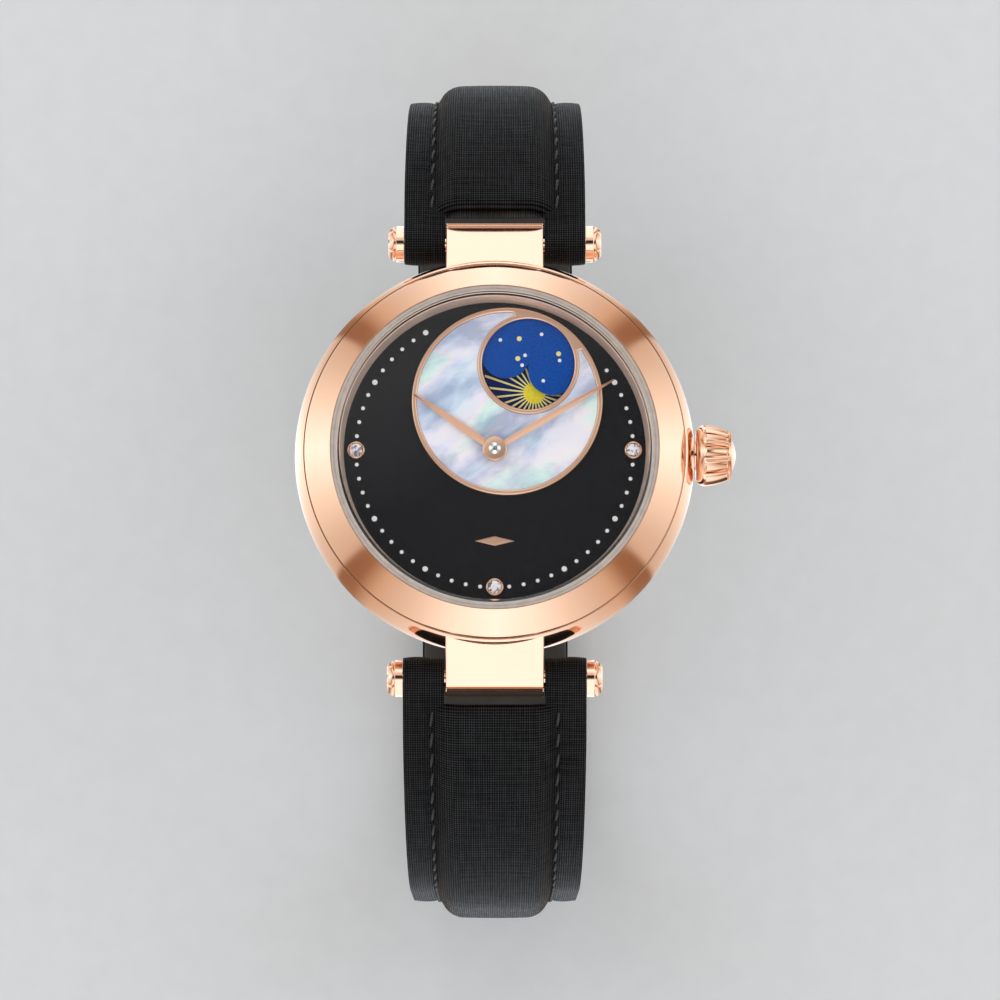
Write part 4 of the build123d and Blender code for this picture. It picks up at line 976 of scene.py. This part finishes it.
def add_stars():
    white, yellow = [], []
    for x, y, kind in STAR_PIXELS:
        bm = small_dome(STAR_RADII[kind], 0.04, 24)
        lifted(bm, *photo_place(x, y), COVER_TOP)
        (yellow if kind else white).append(bm)
    joined("pale_stars", white, "white", slot="star_blue")
    joined("gold_stars", yellow, "pale_yellow", slot="star_blue")


def add_sun_and_moon():
    """The sun stands where the opening shows it, and the moon half a turn round the disc."""
    centre = clock_place(*APERTURE[:2])
    sun = Vector(photo_place(*SUN_PIXEL))
    near, far = RAY_HALF_WIDTHS
    rays = []
    for number in range(RAY_COUNT):
        out = circle_point(TURN * (number + 0.5) / RAY_COUNT)
        side = Vector((-out.y, out.x))
        reach = RAY_REACH
        while (sun + out * reach - centre).length > APERTURE[2] + RAY_COVER:
            reach -= 0.1
        root = out * SUN_RADIUS * 0.95
        tip = out * reach
        corners = [root - side * near, tip - side * far, tip + side * far, root + side * near]
        bm = block([(*corner, 0) for corner in corners], (0, 0, RAY_HEIGHT))
        rays.append(lifted(bm, *sun, DISC_TOP))
    disc = lifted(small_dome(SUN_RADIUS, RAY_HEIGHT * SUN_RISE, 48), *sun, DISC_TOP)
    made("sun", disc, "yellow", "moon_disc", "sun_moon")
    joined("sun_rays", rays, "pale_yellow", "moon_disc", "sun_moon")
    bm = lifted(small_dome(MOON_RADIUS, RAY_HEIGHT * SUN_RISE, 64), *(2 * centre - sun), DISC_TOP)
    made("moon", bm, "white", "moon_disc", "sun_moon")


# hands
HOUR_HAND = ("hour_hand", 8.6, 0.33, 0.42, 305.0, "hour", 0.72)
MINUTE_HAND = ("minute_hand", 12.0, 0.30, 0.8, 59.5, "minute", 0.42)
RIDGE_HEIGHT = 0.2
HAND_ROOT = 0.16
HAND_TIP = 0.07
HAND_STATIONS = 28
HAND_WIDEST = 0.3
HAND_EDGE = 0.05
HUB_RADIUS = 1.06
HUB_HEIGHT = 0.3
HAND_CAP = (0.52, 1.1, 1.33)


def add_hand(name, length, half_width, bottom, clock, body, bore):
    leaf = bmesh.new()
    edge = HAND_EDGE
    rows = []
    for share in between(0.0, 1.0, HAND_STATIONS):
        end = HAND_ROOT if share < HAND_WIDEST else HAND_TIP
        span = HAND_WIDEST if share < HAND_WIDEST else 1 - HAND_WIDEST
        width = half_width - (half_width - end) * ((share - HAND_WIDEST) / span) ** 2
        corners = ((-width, 0), (-width, edge), (0, RIDGE_HEIGHT), (width, edge), (width, 0))
        rows.append([leaf.verts.new((x, length * share, z)) for x, z in corners])
    for row, after in zip(rows, rows[1:]):
        for number in range(5):
            other = (number + 1) % 5
            leaf.faces.new((row[number], row[other], after[other], after[number]))
    leaf.faces.new(rows[0])
    leaf.faces.new(rows[-1])
    bmesh.ops.recalc_face_normals(leaf, faces=leaf.faces)
    ring = square_ring(bore, HUB_RADIUS, 0, HUB_HEIGHT)
    parts = [leaf, lathed(ring, {2: (0.12, 4), 3: (0.05, 2)}, steps=80)]
    for bm in parts:
        bm.transform(Matrix.Rotation(-math.radians(clock), 4, "Z"))
        lifted(bm, 0, 0, bottom)
    joined(name + "_satin", parts, "satin_gold", body, angle=20, node=name)


def add_hands():
    add_hand(*HOUR_HAND)
    add_hand(*MINUTE_HAND)
    radius, low, crest = HAND_CAP
    dome = arc_points((radius, low + 0.08), (0, crest), -0.06, 8)
    bm = lathed([(0, low), (radius, low), *dome], steps=SMALL_STEPS, closed=False)
    made("hand_cap_polished", lifted(bm), "steel", "minute", node="hand_cap")


# crown
CROWN_BACK = (2.25, 17.6)
CROWN_SHOULDER = (2.7, 18.4)
CROWN_FRONT = (2.06, 20.65)
CROWN_CAP = (1.6, 20.62)
CROWN_SEAM = ((1.98, 20.71), (1.66, 20.66), (1.63, 20.58))
CROWN_END = 21.1
CROWN_CAVITY = (1.35, 19.85)
CROWN_RIBS = 10
CROWN_STEPS = 24
CROWN_PANEL = (12.4, 2.2, 0.32)
CROWN_PANEL_RUN = (18.3, 20.45, 0.16)
CROWN_GROOVE = (1.4, 1.5, 0.10)
CROWN_PANEL_CROWN = 0.10
CROWN_BULGES = (-0.10, -0.12, -0.10)


def crown_sink(degrees, along):
    """How deep the crown's side is cut at an angle from a panel's middle."""
    half, blend, depth = CROWN_PANEL
    low, high, run_blend = CROWN_PANEL_RUN
    panel = smooth_step((half - abs(degrees)) / blend)
    panel *= smooth_step((along - low) / run_blend) * smooth_step((high - along) / run_blend)
    floor = depth - CROWN_PANEL_CROWN * (1 - (degrees / half) ** 2)
    half_groove, groove_blend, groove_depth = CROWN_GROOVE
    ridge = abs(abs(degrees) - 180 / CROWN_RIBS)
    groove = smooth_step((half_groove - ridge) / groove_blend + 0.5)
    groove *= smooth_step((along - CROWN_SHOULDER[1] + 0.1) / 0.3)
    groove *= smooth_step((CROWN_FRONT[1] - 0.1 - along) / 0.2)
    return panel * floor + groove * groove_depth


def smooth_step(value):
    value = min(1.0, max(0.0, value))
    return value * value * (3 - 2 * value)


def add_crown():
    back = arc_points(CROWN_BACK, CROWN_SHOULDER, CROWN_BULGES[0], 6)
    side = arc_points(CROWN_SHOULDER, CROWN_FRONT, CROWN_BULGES[1], 40)[1:]
    dome = arc_points(CROWN_CAP, (0.0, CROWN_END), CROWN_BULGES[2], 12)
    outline = [(0, CROWN_CAVITY[1]), CROWN_CAVITY, (CROWN_CAVITY[0], CROWN_BACK[1])]
    outline += [*back, *side, *CROWN_SEAM, *dome]
    bm = lathed(outline, steps=CROWN_RIBS * CROWN_STEPS, closed=False)
    step = 360 / CROWN_RIBS
    for vert in bm.verts:
        radius = vert.co.xy.length
        if radius > CROWN_CAP[0] + 0.1 and vert.co.z < CROWN_FRONT[1] + 0.01:
            degrees = math.degrees(math.atan2(vert.co.y, vert.co.x)) % step
            degrees -= step if degrees > step / 2 else 0
            pulled_in(vert, (radius - crown_sink(degrees, vert.co.z)) / radius)
    bm.transform(ALONG_X)
    bmesh.ops.recalc_face_normals(bm, faces=bm.faces)
    lifted(bm, 0, 0, -STEM_DEPTH)
    made("crown_ribbed", bm, body="crown", angle=48, node="crown")


def add_crown_tube():
    radius, collar_start, collar_end = TUBE_COLLAR
    foot_radius, foot = TUBE_FOOT
    neck_radius, neck_end = TUBE_NECK
    outline = [(TUBE_BORE, foot), (foot_radius, foot), (foot_radius, collar_start)]
    outline += [(radius - 0.01, collar_start), (radius - 0.01, collar_end)]
    outline += [(neck_radius, collar_end), (neck_radius, neck_end), (TUBE_BORE, neck_end)]
    bm = lathed(outline, {4: (0.08, 3), 6: (0.06, 2)}, steps=SMALL_STEPS)
    bm.transform(ALONG_X)
    made("crown_tube_polished", lifted(bm, 0, 0, -STEM_DEPTH), node="crown_tube")


# straps, modelled flat and then laid along their line
EAR_RADIUS = 1.8
EAR_HEADING = 15.0
WRAP_ANGLE = 196.4
TAIL_LENGTH = 4.0
STRAP_LEAD = 1.2
UPPER_BEND = 20.3
LOWER_BEND = {"12": 16.0, "6": 22.0}
UPRIGHT = {"12": 0.0, "6": 7.0}
RUN_LENGTH = {"12": 12.5, "6": 30.0}
HALF_WIDTH = 8.0
FOOT_HALF_WIDTH = 7.0
FOOT_DEPTH = 46.0
SHELL = 1.7
SLEEVE_WALL = 0.95
LINING = (1.72, 0.7, 0.25, 3.6)
LINING_SHORT = {"12": 3.0, "6": 0.3}
NOTCH_HALF = 4.4
NOTCH_START = 2.0
NOTCH_RADIUS = 2.56
ROLL_RADIUS = 1.2
ROLL_WALL = 0.65
RETURN_LENGTH = 2.7
TANG_SLOT = (1.2, 3.0)
PAD_HALF = 5.3
PAD_HEIGHT = 1.65
PAD_SLOPE = 2.3
PAD_CORNER = 2.4
PAD_START = 1.95
PAD_FRONT_SLOPE = 0.8
STITCH_HALF = 5.5
STITCH_PITCH = 1.9
STITCH_START = 3.4
STITCH_LENGTH = 1.558
STITCH_SIZE = (0.17, 0.16)
STITCH_DIP = (0.06, 0.16)
STITCH_LEAN = 0.10
STITCH_SINK = -0.04
UNSTITCHED_SHARE = 0.35
SEAM = (0.28, 0.13)
FLAP_RISE = 0.10
CLOTH_STEPS = (1.0, 0.22, 0.3, 0.2, 0.45, 0.3, 0.24)
FRONT_END = 6.0
CLOTH_EDGE = 0.11
LINING_EDGE = 0.15
TIP_ROUND = 5.0
HOLES = (0.8, 5, 5.0, 8.0)
HOLE_DEPTH = 8.0
KEEPER = (0.9, 0.7, 0.25)


class StrapLine:
    """The line of a strap's outer face, by the length along it from the ear's top.

    Each piece of the line is a radius and a number of degrees, or 0 and a straight length.
    """

    def __init__(self, side):
        self.pieces = [(0, TAIL_LENGTH), (EAR_RADIUS, WRAP_ANGLE), (0, STRAP_LEAD)]
        self.pieces += [(UPPER_BEND, 90 - EAR_HEADING), (0, UPRIGHT[side])]
        self.pieces += [(LOWER_BEND[side], 90), (0, RUN_LENGTH[side])]
        self.first = -TAIL_LENGTH - EAR_RADIUS * math.radians(WRAP_ANGLE)
        heading = math.radians(WRAP_ANGLE - EAR_HEADING)
        start = Vector((PIN_Y, PIN_HEIGHT)) + circle_point(heading + math.pi / 2, EAR_RADIUS)
        self.start = (start - circle_point(heading, TAIL_LENGTH), heading)
        self.fade_start = self.first + sum(map(self.size, self.pieces[:-2]))
        self.end = self.last = self.first + sum(map(self.size, self.pieces))
        if side == "12":
            self.pieces += [(ROLL_RADIUS, 180), (0, RETURN_LENGTH)]
            self.last = self.first + sum(map(self.size, self.pieces))

    @staticmethod
    def size(piece):
        radius, extent = piece
        return radius * math.radians(extent) if radius else extent

    def place(self, along, rise):
        """(y, height) at that length, rise above the outer face."""
        spot, heading = self.start
        left = along - self.first
        for piece in self.pieces:
            last = piece is self.pieces[-1]
            part = left if last else min(left, self.size(piece))
            if piece[0]:
                centre = spot - circle_point(heading + math.pi / 2, piece[0])
                heading -= part / piece[0]
                spot = centre + circle_point(heading + math.pi / 2, piece[0])
            else:
                spot = spot + circle_point(heading, part)
            left -= part
            if left <= 0:
                break
        return spot + circle_point(heading + math.pi / 2, rise)


def map_cloth(bm, place):
    """Writes the UV map. place gives (across, along) in millimetres of a corner."""
    layer = bm.loops.layers.uv.verify()
    for face in bm.faces:
        for loop in face.loops:
            loop[layer].uv = place(loop.vert.co, face)


def lay_strap(bm, side, line, notched=False):
    """Takes (across, along, rise) to the frame, narrows it, and maps it in millimetres."""
    map_cloth(bm, lambda corner, face: corner.xy)
    pin = Vector((PIN_Y, PIN_HEIGHT))
    for vert in bm.verts:
        x, along, rise = vert.co
        spot = line.place(along, rise)
        if notched and abs(x) < NOTCH_HALF + 0.12 and along > NOTCH_START - 0.2:
            away = spot - pin
            if away.length < NOTCH_RADIUS:
                spot = pin + away.normalized() * NOTCH_RADIUS
        y, height = spot
        drop = max(0.0, PIN_HEIGHT - height) / (FOOT_DEPTH + PIN_HEIGHT)
        x *= 1 - drop * (HALF_WIDTH - FOOT_HALF_WIDTH) / HALF_WIDTH
        if side == "6":
            x, y = -x, -y
        vert.co = Vector((x, y, height))
    bmesh.ops.recalc_face_normals(bm, faces=bm.faces)
    return lifted(bm)


def flat_grid(columns, rows):
    """A flat grid with its vertex lines at the given places."""
    bm = bmesh.new()
    across, along = len(columns) - 1, len(rows) - 1
    bmesh.ops.create_grid(bm, x_segments=across, y_segments=along, size=0.5)
    for vert in bm.verts:
        i = round((vert.co.x + 0.5) * across)
        j = round((vert.co.y + 0.5) * along)
        vert.co = (columns[i], rows[j], 0)
    return bm


def spaced(places, steps):
    """Lines at the places, with even lines of about the given steps between them."""
    lines = [places[0]]
    for start, end, step in zip(places, places[1:], steps):
        lines += between(start, end, max(1, round((end - start) / step)))[1:]
    return lines


def sharp_edges(bm):
    limit = math.radians(SHARP_ANGLE)
    return [e for e in bm.edges if len(e.link_faces) == 2 and e.calc_face_angle() > limit]


def ease(value):
    """0 to 1, rising steeply at first and ending level, as stuffing fills a cover."""
    value = min(1.0, max(0.0, value))
    return (1 - (1 - value) ** 2.4) ** 0.75


def pad_rise(x, along, fade_start, fade_end):
    across = abs(x) - (PAD_HALF - PAD_CORNER)
    ahead = (PAD_START - along) * PAD_SLOPE / PAD_FRONT_SLOPE + PAD_CORNER
    outside = math.hypot(max(across, 0.0), max(ahead, 0.0)) + min(max(across, ahead), 0.0)
    depth = PAD_CORNER - outside
    fade = smooth_step((fade_end - along) / (fade_end - fade_start))
    crown = 1 - 0.08 * (x / PAD_HALF) ** 2
    return PAD_HEIGHT * crown * ease(depth / PAD_SLOPE) * fade


def skin_rise(x, along, line):
    """How far the cloth stands above the strap's plain outer face."""
    fade_end = line.fade_start + 0.8 * line.size((LOWER_BEND["12"], 90))
    rise = pad_rise(x, along, line.fade_start, fade_end) if along > 0 else 0.0
    if along > STITCH_START - 1.5:
        off = (abs(x) - STITCH_HALF) / SEAM[0]
        pull = 0.75 + 0.25 * math.cos(TURN * (along - STITCH_START) / STITCH_PITCH)
        rise -= SEAM[1] * math.exp(-off * off) * pull
    flap = (abs(x) - STITCH_HALF) / (HALF_WIDTH - STITCH_HALF)
    if 0 < flap < 1 and along < fade_end:
        rise += FLAP_RISE * math.sin(math.pi * flap) * min(1.0, (fade_end - along) / 3.0)
    return rise * min(1.0, max(0.0, (line.end - along) / 2.0))


def add_strap_cloth(side, line):
    half = spaced((0, TANG_SLOT[0], NOTCH_HALF, HALF_WIDTH), (0.4, 0.4, 0.25))
    columns = [-x for x in reversed(half[1:])] + half
    ear_start = -EAR_RADIUS * math.radians(WRAP_ANGLE)
    slot_start = line.end - TANG_SLOT[1]
    places = [line.first, ear_start, 0, NOTCH_START, FRONT_END, slot_start, line.end]
    if line.last > line.end:
        places.append(line.last)
    bm = flat_grid(columns, spaced(places, CLOTH_STEPS))
    gone = []
    for face in bm.faces:
        x, y = face.calc_center_median().xy
        notch = abs(x) < NOTCH_HALF and y < NOTCH_START
        slot = side == "12" and abs(x) < TANG_SLOT[0] and y > slot_start
        if notch or slot:
            gone.append(face)
    bmesh.ops.delete(bm, geom=gone, context="FACES")
    top, under = second_skin(bm)
    for vert in top:
        vert.co.z = skin_rise(vert.co.x, vert.co.y, line)
    for vert in under:
        wall = SLEEVE_WALL if vert.co.y < 0.05 else SHELL
        if side == "12":
            thin = smooth_step((vert.co.y - line.end) / ROLL_RADIUS + 1)
            wall += thin * (ROLL_WALL - wall)
        vert.co.z = -wall
    return strap_piece(bm, side, line, CLOTH_EDGE, "cloth", "strap_")


def strap_piece(bm, side, line, edge, paint, node):
    """Rounds a strap's layer off, lays it along its line and returns it."""
    bmesh.ops.recalc_face_normals(bm, faces=bm.faces)
    if side == "6":
        round_strap_tip(bm, line)
    rounded(bm, sharp_edges(bm), edge, 3)
    lay_strap(bm, side, line, paint == "cloth")
    strap = "strap_" + side
    obj = made(strap + "_" + paint, bm, paint, strap, angle=60, even=False, node=node + side)
    return obj


def round_strap_tip(bm, line):
    start = line.end - TIP_ROUND - 1.5
    for vert in bm.verts:
        if vert.co.y <= start:
            continue
        beyond = abs(vert.co.x) - (HALF_WIDTH - TIP_ROUND)
        limit = line.end
        if beyond > 0:
            limit -= TIP_ROUND - math.sqrt(max(0.0, TIP_ROUND ** 2 - beyond ** 2))
        share = (vert.co.y - start) / (line.end - start)
        vert.co.y = start + share * (limit - start)


def add_strap_lining(side, line):
    depth, thickness, inset, first = LINING
    width = HALF_WIDTH - inset
    last = line.end - LINING_SHORT[side]
    bm = flat_grid(spaced((-width, width), (1.2,)), spaced((first, last), (0.6,)))
    top, under = second_skin(bm)
    for vert in top:
        vert.co.z = -depth
    for vert in under:
        vert.co.z = -depth - thickness
    return strap_piece(bm, side, line, LINING_EDGE, "lining", "lining_")


def punch_holes(objs, line):
    """The buckle's holes through cloth and lining of the long strap."""
    radius, count, pitch, first = HOLES
    for obj in objs:
        cutters = []
        for number in range(count):
            y, height = line.place(line.end - first - number * pitch, -SHELL / 2)
            place = Matrix.Translation(Vector((0, -y, height)))
            cutters.append(rod_cutter(radius, HOLE_DEPTH, place, 32))
        carved(obj, cutters, 60)


def one_stitch():
    """A short twisted thread that dips into the cloth at both ends."""
    bm = bmesh.new()
    bmesh.ops.create_uvsphere(bm, u_segments=8, v_segments=8, radius=1.0)
    half = STITCH_LENGTH / 2
    bm.transform(Matrix.Diagonal((STITCH_SIZE[0], half, STITCH_SIZE[1], 1)))
    for vert in bm.verts:
        share = vert.co.y / half
        vert.co.z += STITCH_DIP[0] - STITCH_DIP[1] * share * share
        vert.co.x += STITCH_LEAN * share
    return bm


def add_stitches(side, line):
    whole = bmesh.new()
    last = line.end - RUN_LENGTH[side] * UNSTITCHED_SHARE
    count = int((last - STITCH_START) / STITCH_PITCH)
    for hand in (-1, 1):
        for number in range(count):
            along = STITCH_START + number * STITCH_PITCH
            bm = one_stitch()
            place = (hand * STITCH_HALF, along, STITCH_SINK)
            bmesh.ops.translate(bm, verts=bm.verts, vec=place)
            mesh = as_mesh(bm, "stitch")
            whole.from_mesh(mesh)
            bpy.data.meshes.remove(mesh)
    lay_strap(whole, side, line)
    strap = "strap_" + side
    made(strap + "_stitches", whole, "thread", strap, angle=60)


def add_straps():
    for side in ("12", "6"):
        line = StrapLine(side)
        cloth = add_strap_cloth(side, line)
        lining = add_strap_lining(side, line)
        add_stitches(side, line)
        if side == "6":
            punch_holes((cloth, lining), line)


def add_keepers():
    wall, corner, rim = (size * MM for size in KEEPER)
    for node, body in (("fixed_keeper", "strap_12"), ("free_keeper", "free_keeper")):
        low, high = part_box(node)
        size = high - low
        bm = bmesh.new()
        bmesh.ops.create_cube(bm, size=1.0, matrix=Matrix.Diagonal((*size, 1)))
        ends = [face for face in bm.faces if abs(face.normal.y) > 0.5]
        bmesh.ops.inset_individual(bm, faces=ends, thickness=wall)
        bmesh.ops.bridge_loops(bm, edges=[edge for face in ends for edge in face.edges])
        bmesh.ops.delete(bm, geom=ends, context="FACES_ONLY")
        bmesh.ops.recalc_face_normals(bm, faces=bm.faces)
        rounded(bm, [e for e in bm.edges if edge_run(e) > size.y / 2], corner, 5)
        rounded(bm, [e for e in sharp_edges(bm) if edge_run(e) < 0.01 * MM], rim, 4)
        map_cloth(bm, keeper_place)
        bmesh.ops.translate(bm, verts=bm.verts, vec=(high + low) / 2)
        made(node + "_cloth", bm, "cloth", body, angle=60, node=node)


def edge_run(edge):
    """How far an edge reaches along the strap."""
    return abs(edge.verts[0].co.y - edge.verts[1].co.y)


def keeper_place(corner, face):
    """A corner's place in the cloth that goes round a keeper."""
    across = corner.x if abs(face.normal.z) > 0.7 else corner.z
    return across / MM, corner.y / MM


def finish_metalwork():
    """Pieces that keep their CAD shape, with their facets joined."""
    for node, paint, body in (
        ("star_cover", "star_blue", "case"),
        ("sun_moon_disc", "navy", "moon_disc"),
        ("pearl_crescent", "pearl", "case"),
        ("corrector_right", "rose_gold", "corrector_right"),
        ("corrector_left", "rose_gold", "corrector_left"),
        ("case_back", "rose_gold", "case"),
        ("back_glass", "sapphire", "case"),
        ("back_screws", "steel", "case"),
        ("back_gasket", "dark_seal", "case"),
        ("crown_gasket", "dark_seal", "crown"),
        ("buckle_frame", "rose_gold", "buckle"),
        ("buckle_bar", "rose_gold", "buckle"),
        ("buckle_tang", "rose_gold", "tang"),
        ("movement_ring", "nickel", "case"),
        ("main_plate", "nickel", "case"),
        ("barrel_bridge", "bridge", "case"),
        ("train_bridge", "bridge", "case"),
        ("balance_cock", "bridge", "case"),
        ("balance_wheel", "gilt", "balance"),
        ("rotor_weight", "rotor", "rotor"),
        ("rotor_bearing", "steel", "case"),
        ("ratchet_wheel", "steel", "ratchet"),
        ("crown_wheel", "steel", "crown_wheel"),
        ("winding_stem", "steel", "crown"),
        ("clutch_wheel", "steel", "clutch"),
        ("cannon_pinion", "gilt", "minute"),
        ("minute_wheel", "gilt", "minute_wheel"),
        ("hour_wheel", "gilt", "hour"),
        ("disc_wheel", "gilt", "moon_disc"),
    ):
        merged_copy(node, paint, body)


def paint_dial():
    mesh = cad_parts["dial_plate"].data
    mesh.materials.clear()
    mesh.materials.append(PAINT["black_dial"])


for add in (
    add_camera, add_studio, add_case_band, add_lugs, add_bezel, add_crystal, add_screw_bars,
    add_crescent, add_dots, add_stones, add_lozenge, add_stars, add_sun_and_moon, add_hands,
    add_crown, add_crown_tube, add_straps, add_keepers, finish_metalwork, paint_dial,
):
    add()
